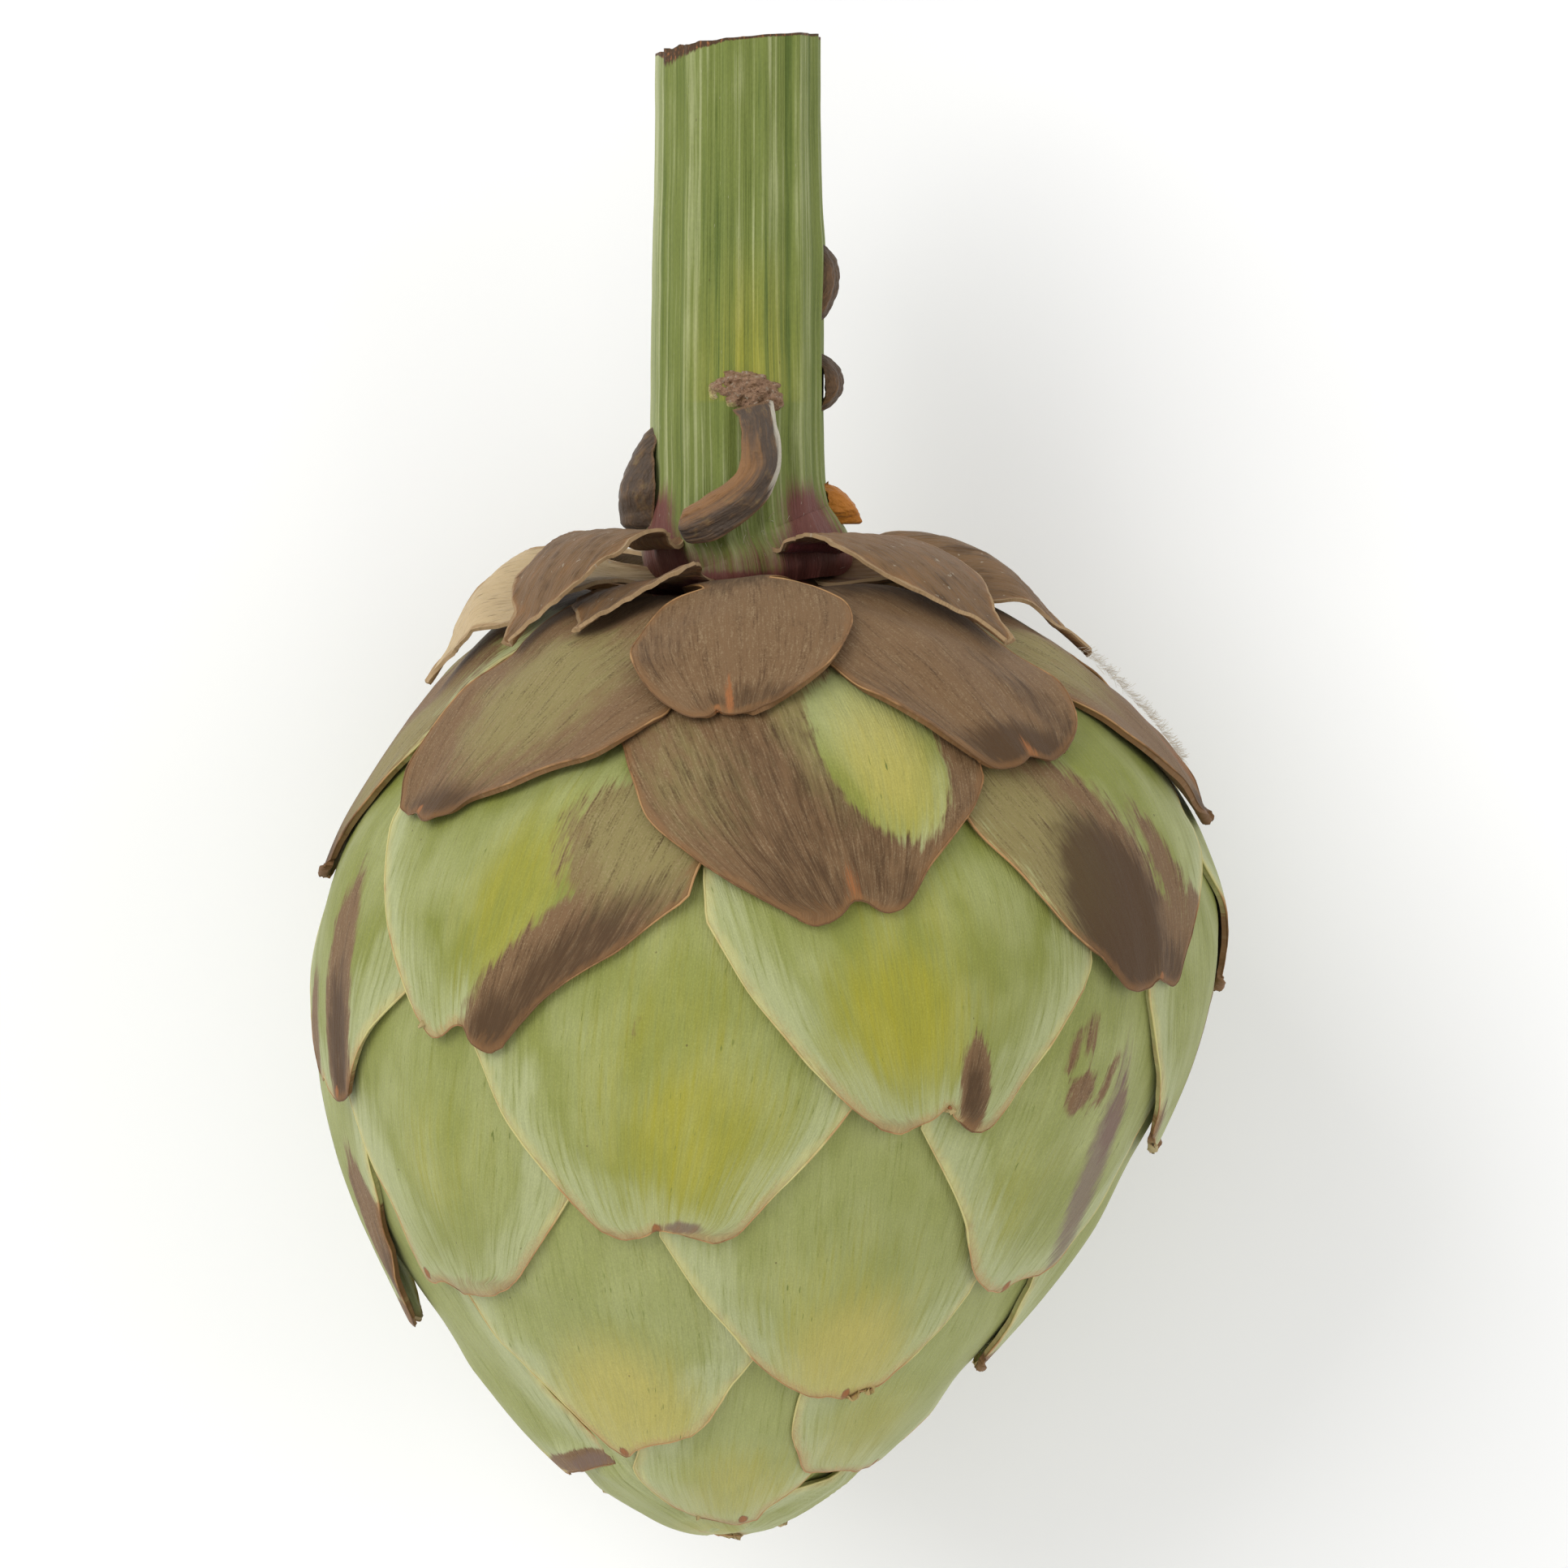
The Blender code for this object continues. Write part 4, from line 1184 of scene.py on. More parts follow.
def downy_hairs(material):
    """A fine bent hair on each point, turned at random round the direction that it carries."""
    growth = Growth("downy_hairs")
    length = growth.number("Length", 0.0019)
    thickness = growth.number("Radius", 0.00003)
    bend = growth.number("Bend", 0.35)
    seed = growth.number("Seed", 4, "NodeSocketInt")
    half = growth.math("MULTIPLY", length, 0.5)
    aside = growth.math("MULTIPLY", length, bend)
    middle = growth.add("ShaderNodeCombineXYZ", {"Z": half}).outputs[0]
    end = growth.add("ShaderNodeCombineXYZ", {"X": aside, "Z": length}).outputs[0]
    strand = growth.add(
        "GeometryNodeCurveQuadraticBezier",
        {"Resolution": 4, "Start": (0, 0, 0), "Middle": middle, "End": end},
    ).outputs[0]
    ring = growth.add("GeometryNodeCurvePrimitiveCircle", {"Resolution": 3, "Radius": thickness}).outputs[0]
    hair = growth.add("GeometryNodeCurveToMesh", {"Curve": strand, "Profile Curve": ring}).outputs[0]
    spin = growth.add("FunctionNodeRandomValue", {"Max_001": 2 * math.pi, "Seed": seed}, data_type="FLOAT")
    spin = growth.add("ShaderNodeCombineXYZ", {"Z": spin.outputs[1]}).outputs[0]
    spin = growth.add("FunctionNodeEulerToRotation", {"Euler": spin}).outputs[0]
    turned = growth.add(
        "FunctionNodeRotateRotation",
        {"Rotation": facing(growth), "Rotate By": spin}, rotation_space="LOCAL",
    ).outputs[0]
    growth.end(standing(growth, hair, turned), material)
    return growth


def cut_vessels(material):
    """Flattened dots in an uneven ring."""
    growth = Growth("cut_vessels")
    count = growth.number("Count", 26, "NodeSocketInt")
    ring_radius = growth.number("Ring radius", 0.0068)
    size = growth.number("Size", 0.0004)
    seed = growth.number("Seed", 8, "NodeSocketInt")
    ring = growth.add("GeometryNodeMeshCircle", {"Vertices": count, "Radius": ring_radius}).outputs[0]
    shift = growth.add(
        "FunctionNodeRandomValue",
        {"Min": (-0.0005, -0.0005, 0), "Max": (0.0005, 0.0005, 0), "Seed": seed}, data_type="FLOAT_VECTOR",
    ).outputs[0]
    ring = growth.add("GeometryNodeSetPosition", {"Geometry": ring, "Offset": shift}).outputs[0]
    dot = growth.add("GeometryNodeMeshIcoSphere", {"Radius": size, "Subdivisions": 2}).outputs[0]
    flat = growth.add("GeometryNodeTransform", {"Geometry": dot, "Scale": (1, 1, 0.45)}).outputs[0]
    scale = growth.add(
        "FunctionNodeRandomValue", {"Min_001": 0.6, "Max_001": 1.3, "Seed": seed}, data_type="FLOAT",
    ).outputs[1]
    dots = growth.add(
        "GeometryNodeInstanceOnPoints", {"Points": ring, "Instance": flat, "Scale": scale},
    ).outputs[0]
    growth.end(dots, material)
    return growth


# Finishes

class Finish:
    """A material's node tree, built from what its surface carries up to its colour."""

    def __init__(self, name):
        self.material = bpy.data.materials.new(name)
        self.material.use_nodes = True
        self.tree = self.material.node_tree
        self.shader = self.tree.nodes["Principled BSDF"]

    def add(self, kind, inputs=(), **settings):
        node = self.tree.nodes.new(kind)
        for key, value in settings.items():
            setattr(node, key, value)
        for key, value in dict(inputs).items():
            self.put(node.inputs[key], value)
        return node

    def put(self, socket, value):
        if isinstance(value, bpy.types.NodeSocket):
            self.tree.links.new(value, socket)
        elif socket.type == "RGBA":
            socket.default_value = (*tuple(value)[:3], 1.0)
        else:
            socket.default_value = value

    def carried(self, name):
        return self.add("ShaderNodeAttribute", attribute_name=name).outputs["Fac"]

    def carried_vector(self, name):
        return self.add("ShaderNodeAttribute", attribute_name=name).outputs["Vector"]

    def where(self):
        return self.add("ShaderNodeTexCoord").outputs["Object"]

    def math(self, operation, first, second=0.0, clamp=False):
        return self.add(
            "ShaderNodeMath", {0: first, 1: second}, operation=operation, use_clamp=clamp,
        ).outputs[0]

    def times(self, first, second):
        return self.math("MULTIPLY", first, second)

    def plus(self, first, second):
        return self.math("ADD", first, second)

    def step(self, value, low, high, most=1.0):
        """Eases from 0 where the value is low to the most where it is high."""
        share = self.add(
            "ShaderNodeMapRange", {0: value, 1: low, 2: high}, interpolation_type="SMOOTHSTEP", clamp=True,
        ).outputs[0]
        return share if most == 1.0 else self.times(share, most)

    def mix(self, share, first, second):
        return self.add(
            "ShaderNodeMix", {0: share, 6: first, 7: second}, data_type="RGBA", clamp_factor=True,
        ).outputs[2]

    def shaded(self, base, relief):
        """The base colour, lighter where the relief is above 0 and darker where it is below."""
        light = self.plus(1.0, relief)
        grey = self.add("ShaderNodeCombineColor", {0: light, 1: light, 2: light}).outputs[0]
        return self.add(
            "ShaderNodeMix", {0: 1.0, 6: base, 7: grey}, data_type="RGBA", blend_type="MULTIPLY",
        ).outputs[2]

    def stretch(self, vector, scale):
        return self.add("ShaderNodeVectorMath", {0: vector, 1: scale}, operation="MULTIPLY").outputs[0]

    def noise(self, vector, scale, detail=2.0, roughness=0.5):
        """Noise about 0, from roughly -0.5 to 0.5, at a scale for each way of the vector."""
        if isinstance(scale, tuple):
            vector, scale = self.stretch(vector, scale), 1.0
        made = self.add(
            "ShaderNodeTexNoise", {0: vector, "Scale": scale, "Detail": detail, "Roughness": roughness},
        ).outputs[0]
        return self.math("SUBTRACT", made, 0.5)

    def specks(self, vector, scale, size, share):
        """Small spots in a share of the cells."""
        cells = self.add("ShaderNodeTexVoronoi", {0: self.stretch(vector, scale), "Scale": 1.0})
        near = self.step(cells.outputs["Distance"], size, size * 0.6)
        pick = self.add("ShaderNodeSeparateColor", {0: cells.outputs["Color"]}).outputs[0]
        return self.times(near, self.step(pick, 1 - share, 1 - share * 0.9))

    def end(self, base, height=None, depth=0.0002, strength=0.6, roughness=0.55, specular=0.3, sheen=0.0):
        self.put(self.shader.inputs["Base Color"], base)
        self.put(self.shader.inputs["Roughness"], roughness)
        self.shader.inputs["Specular IOR Level"].default_value = specular
        self.shader.inputs["Sheen Weight"].default_value = sheen
        self.shader.inputs["Sheen Roughness"].default_value = 0.5
        if height is not None:
            bump = self.add("ShaderNodeBump", {"Height": height, "Distance": depth, "Strength": strength})
            self.put(self.shader.inputs["Normal"], bump.outputs[0])
        return self.material


def fresh_bract_finish():
    """Grey-green fibrous skin that turns yellow-green, olive or brown where its marks say."""
    c = colours()
    f = Finish("fresh_bract")
    fibres = f.carried_vector("fibres")
    fine = f.noise(fibres, (4.6, 0.34, 1.0), 2.0, 0.55)
    streak = f.noise(fibres, (1.5, 0.10, 1.0), 2.0, 0.55)
    patch = f.noise(fibres, (0.15, 0.09, 1.0), 2.0)
    blotch = f.noise(fibres, (0.75, 0.34, 1.0), 3.0, 0.6)
    grain = f.noise(fibres, (5.5, 4.0, 1.0), 2.0, 0.6)
    rim = f.carried("rim")

    green = f.mix(f.plus(0.28, f.times(patch, 2.6)), c.green, c.grey_green)
    green = f.mix(f.carried("pale"), green, c.grey_green)
    bloom = f.step(f.plus(rim, f.plus(f.times(patch, 12.0), f.times(streak, 5.0))), 6.5, 0.8)
    green = f.mix(f.times(bloom, 0.7), green, c.bloom)
    weft = f.plus(f.times(streak, 0.8), f.times(fine, 0.9))
    green = f.mix(f.step(weft, -0.02, 0.42, 0.75), green, c.deep_green)
    lit = f.plus(f.carried("glow"), f.plus(f.times(patch, 0.6), f.times(streak, 0.9)))
    green = f.mix(f.step(lit, 0.0, 1.25, 0.82), green, c.glow)
    warm = f.plus(f.carried("tan"), f.times(weft, 0.3))
    green = f.mix(f.step(warm, 0.0, 1.0, 0.8), green, c.tan)
    crust = f.step(f.plus(rim, f.times(f.plus(blotch, grain), 2.0)), 1.5, 0.1)
    border = f.mix(f.step(f.plus(f.carried("tip"), f.times(blotch, 1.5)), 0.0, 0.6), c.cream, c.peach)
    border = f.mix(f.times(f.step(f.plus(grain, blotch), 0.1, 0.4), f.carried("tip")), border, c.rim_brown)
    green = f.mix(f.times(crust, 0.55), green, border)
    green = f.mix(f.step(f.plus(grain, f.times(fine, 0.4)), 0.08, 0.4, 0.16), green, c.cream)
    ticks = f.step(f.noise(fibres, (3.4, 0.5, 1.0), 1.0), 0.19, 0.26)
    green = f.mix(f.times(ticks, f.step(f.plus(patch, streak), -0.05, 0.3)), green, c.deep_green)

    feather = f.plus(f.plus(f.times(fine, 0.55), f.times(streak, 0.55)), f.times(blotch, 0.75))
    brownness = f.step(f.plus(f.carried("brown"), feather), 0.30, 0.68)
    toasted = f.mix(f.step(f.plus(f.carried("olive"), blotch), 0.1, 0.9), c.taupe, c.olive)
    scorched = f.plus(weft, f.plus(grain, f.times(blotch, 0.4)))
    toasted = f.mix(f.step(scorched, 0.0, 0.5, 0.85), toasted, c.dark_brown)
    toasted = f.mix(f.step(f.plus(fine, f.times(grain, 1.3)), 0.0, -0.4, 0.32), toasted, c.straw)
    darkness = f.step(f.plus(f.carried("dark"), f.times(feather, 1.1)), 0.2, 1.1)
    toasted = f.mix(f.times(darkness, 0.88), toasted, c.dark_brown)
    toasted = f.mix(f.step(f.plus(f.carried("ember"), f.times(weft, 0.8)), 0.35, 0.9), toasted, c.ember)
    toasted = f.mix(f.step(f.plus(rim, f.times(blotch, 1.6)), 1.0, 0.2, 0.45), toasted, c.rim_brown)
    surface = f.mix(brownness, green, toasted)
    bruise = f.step(f.plus(f.carried("violet"), f.times(feather, 1.1)), 0.2, 1.0)
    surface = f.mix(f.times(bruise, 0.85), surface, c.violet)

    dried_tip = f.step(f.plus(f.carried("tip"), f.times(blotch, 0.6)), 0.86, 1.05)
    surface = f.mix(f.times(dried_tip, 0.4), surface, c.rim_brown)
    spots = f.specks(fibres, (0.42, 0.34, 1.0), 0.06, 0.16)
    surface = f.mix(f.times(spots, 0.6), surface, c.dark_brown)
    surface = f.shaded(surface, f.plus(f.times(grain, 0.42), f.times(fine, 0.36)))
    height = f.plus(f.plus(f.times(fine, 0.8), f.times(streak, 0.7)), f.times(grain, 0.3))
    rough = f.plus(0.52, f.times(brownness, 0.12))
    return f.end(surface, height, 0.00025, 0.5, rough, 0.22, 0.03)


def dried_bract_finish():
    """Leathery brown, with tan margins and the same lengthwise fibres."""
    c = colours()
    f = Finish("dried_bract")
    fibres = f.carried_vector("fibres")
    fine = f.noise(fibres, (4.4, 0.4, 1.0), 2.0, 0.6)
    streak = f.noise(fibres, (1.4, 0.16, 1.0), 3.0, 0.6)
    patch = f.noise(f.where(), 240.0, 3.0, 0.6)
    fold = f.plus(patch, f.times(streak, 0.8))
    surface = f.mix(f.step(fold, 0.0, 0.38), c.taupe, c.dark_brown)
    surface = f.mix(f.step(fold, 0.0, -0.3, 0.55), surface, c.rim_brown)
    surface = f.mix(f.step(f.plus(f.carried("straw"), f.times(fold, 0.5)), 0.1, 0.9), surface, c.straw)
    surface = f.mix(f.step(f.plus(f.carried("red"), fold), 0.2, 1.0, 0.8), surface, c.rim_brown)
    surface = f.mix(f.step(f.plus(f.carried("purple"), f.times(streak, 0.6)), 0.3, 0.8), surface, c.purple)
    surface = f.mix(f.step(f.plus(f.carried("rim"), patch), 0.9, 0.1, 0.7), surface, c.rim_brown)
    surface = f.mix(f.step(fine, 0.04, 0.3, 0.6), surface, c.dark_brown)
    surface = f.mix(f.step(f.plus(f.carried("rim"), patch), 0.35, 0.1, 0.4), surface, c.straw)
    wrinkle = f.step(f.noise(fibres, (1.2, 0.9, 1.0), 3.0, 0.7), 0.17, 0.21)
    surface = f.mix(f.times(wrinkle, 0.5), surface, c.silver)
    height = f.plus(f.plus(fine, streak), f.times(patch, 0.8))
    return f.end(surface, height, 0.0005, 0.6, 0.6, 0.22, 0.04)


def stem_finish():
    """Pale ribs and dark green grooves, yellower above the scar and purple at the foot, with painted light
    on the left half and painted sheen along the sides.
    """
    c = colours()
    f = Finish("stem")
    fibres = f.carried_vector("fibres")
    stripe = f.noise(fibres, (0.75, 0.008, 1.0), 2.0, 0.6)
    line = f.noise(fibres, (2.3, 0.016, 1.0), 2.0, 0.6)
    fine = f.noise(fibres, (5.0, 0.09, 1.0), 2.0, 0.6)
    cloud = f.noise(fibres, (0.2, 0.06, 1.0), 3.0)
    grain = f.noise(fibres, (4.0, 1.8, 1.0), 2.0)
    rib = f.carried("rib")
    level = f.plus(f.plus(f.times(stripe, 1.7), f.times(rib, 0.12)), f.times(line, 1.0))
    # The light value is painted light: the stem's left half is lighter, as if lit from that side
    level = f.plus(f.plus(level, f.times(fine, 0.5)), f.plus(f.times(cloud, 0.8), f.carried("light")))
    surface = f.mix(f.step(level, -0.50, 0.0), c.stem_groove, c.stem_green)
    surface = f.mix(f.step(level, 0.0, 0.50), surface, c.stem_rib)
    surface = f.mix(f.times(f.carried("yellow"), f.step(level, -0.45, 0.35)), surface, c.glow)
    # Painted sheen along the stem's sides, mixed in the bloom colour
    surface = f.mix(f.step(f.plus(f.carried("bleached"), f.times(line, 0.8)), 0.2, 0.9), surface, c.bloom)
    uneven = f.plus(f.times(line, 1.0), f.plus(f.times(fine, 0.6), f.times(cloud, 0.6)))
    tinge = f.plus(f.carried("purple"), uneven)
    surface = f.mix(f.step(tinge, 0.25, 1.0, 0.92), surface, c.purple)
    dry = f.step(f.plus(f.carried("dry"), f.plus(f.times(fine, 0.6), f.times(grain, 0.4))), 0.45, 0.7)
    surface = f.mix(dry, surface, f.mix(f.step(f.plus(grain, line), 0.0, 0.35), c.dark_brown, c.ember))
    spots = f.specks(fibres, (0.6, 0.2, 1.0), 0.05, 0.12)
    surface = f.mix(f.times(spots, 0.5), surface, c.dark_brown)
    scratch = f.step(f.noise(fibres, (3.0, 0.6, 1.0), 2.0, 0.6), 0.21, 0.27)
    surface = f.mix(f.times(scratch, 0.35), surface, c.silver)
    surface = f.shaded(surface, f.plus(f.times(grain, 0.3), f.times(fine, 0.3)))
    height = f.plus(f.plus(f.times(line, 1.2), f.times(fine, 0.6)), f.times(grain, 0.25))
    return f.end(surface, height, 0.0004, 0.5, 0.5, 0.24, 0.0)


def scar_finish():
    """Pinkish-brown crust, dark in its cracks, with a pale lip on its left and lower side."""
    c = colours()
    f = Finish("leaf_scar")
    cell = f.noise(f.where(), 1100.0, 3.0, 0.65)
    crack = f.noise(f.where(), (1500.0, 1300.0, 1500.0), 4.0, 0.75)
    surface = f.mix(f.step(cell, -0.25, 0.08), c.taupe, c.crust)
    surface = f.mix(f.step(crack, 0.04, 0.2, 0.75), surface, c.silver)
    surface = f.mix(f.step(f.times(crack, -1.0), 0.1, 0.2, 0.8), surface, c.dark_brown)
    lip = f.step(f.plus(f.carried("lip"), f.times(cell, 0.9)), 0.35, 0.8)
    surface = f.mix(lip, surface, c.cream)
    return f.end(surface, f.plus(cell, crack), 0.0006, 0.9, 0.75, 0.2)


def cut_finish():
    """The dried cut: pale pith, a darker ring of vessels, and a browned rind."""
    c = colours()
    f = Finish("stem_cut")
    spread = f.carried("spread")
    grain = f.noise(f.where(), 900.0, 3.0, 0.65)
    cloud = f.noise(f.where(), 260.0, 2.0)
    far = f.plus(spread, f.times(cloud, 0.25))
    surface = f.mix(f.step(far, 0.15, 0.75), c.pith, c.stem_green)
    surface = f.mix(f.step(f.plus(cloud, f.times(grain, 0.8)), -0.05, 0.25, 0.55), surface, c.taupe)
    surface = f.mix(f.step(f.plus(far, f.times(grain, 0.3)), 0.82, 0.98), surface, c.dark_brown)
    return f.end(surface, grain, 0.0006, 0.8, 0.7, 0.2)


def withered_finish():
    """Dark dry leaf with rust-coloured edges."""
    c = colours()
    f = Finish("withered_leaf")
    fibres = f.carried_vector("fibres")
    fine = f.noise(fibres, (2.6, 0.25, 1.0), 3.0, 0.6)
    patch = f.noise(f.where(), 420.0, 3.0, 0.65)
    surface = f.mix(f.step(f.plus(fine, patch), -0.1, 0.35), c.withered, c.taupe)
    surface = f.mix(f.step(patch, 0.05, 0.3, 0.5), surface, c.olive)
    surface = f.mix(f.step(f.carried("rim"), 0.4, 0.1, 0.45), surface, c.rim_brown)
    surface = f.mix(f.carried("dark"), surface, c.dark_brown)
    surface = f.mix(f.step(f.plus(f.carried("rust"), f.times(fine, 0.9)), 0.2, 0.9), surface, c.rim_brown)
    surface = f.mix(f.step(f.plus(f.carried("silver"), fine), 0.35, 0.75), surface, c.silver)
    surface = f.mix(f.carried("orange"), surface, c.amber)
    return f.end(surface, f.plus(fine, patch), 0.0006, 0.7, 0.62, 0.3, 0.1)


def rim_finish():
    """Cream margin that turns orange-brown towards the tip and on browned bracts."""
    c = colours()
    f = Finish("bract_rim")
    change = f.noise(f.where(), 330.0, 3.0, 0.6)
    ripe = f.step(f.plus(f.carried("ripe"), f.times(change, 1.2)), 0.55, 1.10)
    surface = f.mix(f.step(f.plus(f.carried("ripe"), change), 0.05, 0.55), c.cream, c.peach)
    surface = f.mix(ripe, surface, c.rim_brown)
    dark = f.step(f.plus(f.carried("ripe"), f.times(f.noise(f.where(), 900.0), 1.3)), 0.85, 1.4)
    surface = f.mix(f.times(dark, 0.6), surface, c.dark_brown)
    return f.end(surface, change, 0.0001, 0.4, 0.55, 0.3)


def spine_finish():
    c = colours()
    f = Finish("tip_spine")
    change = f.noise(f.where(), 1400.0, 2.0)
    surface = f.mix(f.step(change, -0.1, 0.2), c.ember, c.dark_brown)
    return f.end(surface, change, 0.0001, 0.5, 0.45, 0.4)


def down_finish():
    c = colours()
    f = Finish("down")
    change = f.noise(f.where(), 500.0, 2.0)
    surface = f.mix(f.step(change, -0.2, 0.3), (0.72, 0.70, 0.63), c.straw)
    return f.end(surface, None, roughness=0.8, specular=0.2, sheen=0.3)


def bud_finish():
    c = colours()
    f = Finish("inner_bud")
    streak = f.noise(f.where(), (900.0, 60.0, 900.0), 3.0)
    surface = f.mix(f.step(streak, -0.2, 0.25), c.grey_green, c.green)
    surface = f.mix(f.carried("top"), surface, f.mix(f.step(streak, -0.1, 0.2), c.dark_brown, c.purple))
    return f.end(surface, streak, 0.0003, 0.5, 0.6, 0.2)


def floor_finish():
    c = colours()
    f = Finish("studio_floor")
    mottle = f.noise(f.where(), 6.0, 3.0)
    surface = f.mix(f.plus(0.5, f.times(mottle, 0.6)), c.floor, (0.95, 0.95, 0.945))
    return f.end(surface, None, roughness=0.85, specular=0.1)


# Pieces

def rim_line(bract, points, values):
    """The blade's margin from one side round the tip to the other, near enough to the tip to show."""
    from_tip = values["fibres"][:, 0, 1]
    rows = np.argmax(from_tip > RIM_REACH) or len(from_tip)
    line, tip, brown = (round_tip(grid, rows) for grid in (points, values["tip"], values["brown"]))
    keep = [0]
    for n in range(1, len(line)):
        if np.linalg.norm(line[n] - line[keep[-1]]) > RIM_STEP:
            keep.append(n)
    line, tip, brown = line[keep], tip[keep], brown[keep]
    order = np.arange(len(line))
    ripe = 0.75 * tip + 0.8 * np.clip(brown, 0, 1)
    ripe = ripe + 0.3 * wander(bract.number + 5, order * 0.5, 13.0)
    girth = np.clip(np.minimum(order, order[::-1]) / 6, 0.2, 1)
    girth = girth * (1 - 0.4 * tip) * (1 + 0.4 * wander(bract.number + 9, order * RIM_STEP, 9.0))
    return line, ripe, girth


class ARTICHOKE_OT_bracts(bpy.types.Operator):
    """Fresh and browned bracts of the head, with the rim and the spine of each"""

    bl_idname = "artichoke.bracts"
    bl_label = "Bracts"

    def execute(self, context):
        finish = fresh_bract_finish()
        bracts = all_bracts()
        rims, spines = [], []
        for n, bract in enumerate(bracts):
            if bract.dried:
                continue
            points, thickness, values, tip_places = bract_blade(bract, bracts[:n])
            brown = bract.browned or bract.name in BROWNED_NAMES
            rims.append(rim_line(bract, points, values))
            spines.append(spine_place(bract, points, tip_places))
            obj = sheet(bract.name + "_blade", points, thickness, values, finish)
            keep_off_floor(obj)
            belongs(obj, "bract_brown" if brown else "bract_green", bract.name)
        add_rims(rims)
        add_spines(spines)
        return {"FINISHED"}


def add_rims(rims):
    """All the margins as one piece."""
    edges, first = [], 0
    for line, *_ in rims:
        edges += chain(first, len(line))
        first += len(line)
    points, ripe, girth = (np.concatenate(parts) for parts in zip(*rims))
    mesh = frame_mesh("bract_rims", points, edges=edges)
    store(mesh, {"ripe": ripe, "girth": girth})
    obj = shown("bract_rims", mesh)
    rim_beads(rim_finish()).grow(obj, {"Radius": sizes().rim_radius})
    keep_off_floor(obj)
    return belongs(obj, "bract_green")


def spine_place(bract, points, tip_places):
    """Where the spine stands, which way it points and how big it is."""
    middle = int(np.argmin(np.abs(tip_places - SPINES.get(bract.number, 0.0))))
    foot = points[0, middle]
    out = -inward(points)[2, middle]
    way = unit(foot - points[6, middle]) + 0.25 * out
    size = 0.6 + 0.5 * random.Random(bract.number).random()
    return foot - way * 0.4 - out * 0.15, unit(way), size


def scatter_mesh(name, places, directions, scales):
    """Loose points that carry the direction and the size of what will stand on them."""
    mesh = frame_mesh(name, places)
    store(mesh, {"direction": np.array(directions), "size": np.array(scales)})
    return mesh


def add_spines(spines):
    obj = shown("tip_spines", scatter_mesh("tip_spines", *zip(*spines)))
    tip_spines(spine_finish()).grow(obj, {"Length": sizes().spine_length})
    keep_off_floor(obj)
    return belongs(obj, "bract_brown")


class ARTICHOKE_OT_dried_bracts(bpy.types.Operator):
    """Small dried bracts that fold over the shoulder from the stem's foot"""

    bl_idname = "artichoke.dried_bracts"
    bl_label = "Dried bracts"

    def execute(self, context):
        finish = dried_bract_finish()
        bracts = all_bracts()
        for n, bract in enumerate(bracts):
            if not bract.dried:
                continue
            points, values = dried_blade(bract, bracts[:n])
            far = values["fibres"][..., 1] / bract.length
            purple = 0.9 if bract.number in PURPLE_FEET else 0.4
            values["straw"] = np.full(points.shape[:2], STRAW.get(bract.number, 0.0))
            values["red"] = RED.get(bract.number, USUAL_RED) * ease((far - 0.25) / 0.5)
            values["purple"] = purple * ease((far - 0.6) / 0.35)
            obj = sheet(bract.name + "_blade", points, DRIED_SHEET, values, finish, 60)
            belongs(obj, "dried_bract", bract.name)
        return {"FINISHED"}


def dried_blade(bract, above):
    """A dried bract's outer surface: narrow, with curled and crinkled margins."""
    seed = bract.number * 9
    turned_back, most_curl, most_cup = (0.2, 0.3, 0.2) if bract.number == FLAT else (0.0, 0.8, 0.6)
    columns, rows = DRIED_GRID
    across, share = np.meshgrid(crowded(columns, 0.8), np.linspace(0, 1, rows))
    from_tip = bract.length * share ** 1.2
    width = half_width(bract, from_tip)
    if bract.number in WIDE_FEET:
        width = np.maximum(width, 0.62 * bract.width * ease((from_tip - 4) / 8))
    if bract.number == FLAT:
        width = 1.45 * width
    pointed = np.clip(from_tip / 9, 0, 1) ** 0.7
    sideways = across * width * (0.25 + 0.75 * pointed)
    ragged = 0.35 * wander(seed, from_tip * np.sign(across) + 20, 7.0) * ease(3 - 3 * share)
    sideways = sideways + np.abs(across) ** 3 * np.sign(across) * ragged
    along = bract.tip - from_tip + 1.2 * np.exp(-from_tip / 2 - (sideways / 1.5) ** 2)
    lean = bract.lean * (from_tip / bract.length)
    turn = bract.turn + lean + sideways / radius_at(bract.tip - from_tip)
    sideways, down_blade = local(bract, turn, along)
    turn = turn - turned_back
    depth, bare = layer_depth(above, turn, along)
    waver = 0.5 + 0.5 * wander(seed + 1, from_tip + 9 * across, 19.0)
    curl = most_curl * np.abs(across) ** 3 * waver
    cup = most_cup * (1 - across ** 2) * pointed
    crinkle = 0.12 * wander(seed + 2, sideways * 1.4 + from_tip * 0.3, 3.3)
    points = place(turn, along, depth - lift_of(bract, down_blade) * bare - curl - cup - crinkle)
    into_stem = 1 - 0.3 * ease((share - 0.84) / 0.16)
    axis = bend_at(-points[..., 1])
    points[..., 0] = axis + (points[..., 0] - axis) * into_stem
    points[..., 2] = REST_HEIGHT + (points[..., 2] - REST_HEIGHT) * into_stem
    values = {
        "rim": rim_distance(points),
        "fibres": np.stack(
            (sideways, from_tip, np.full_like(sideways, bract.number * DRIED_FIBRE_STEP)), -1,
        ),
    }
    return points, values


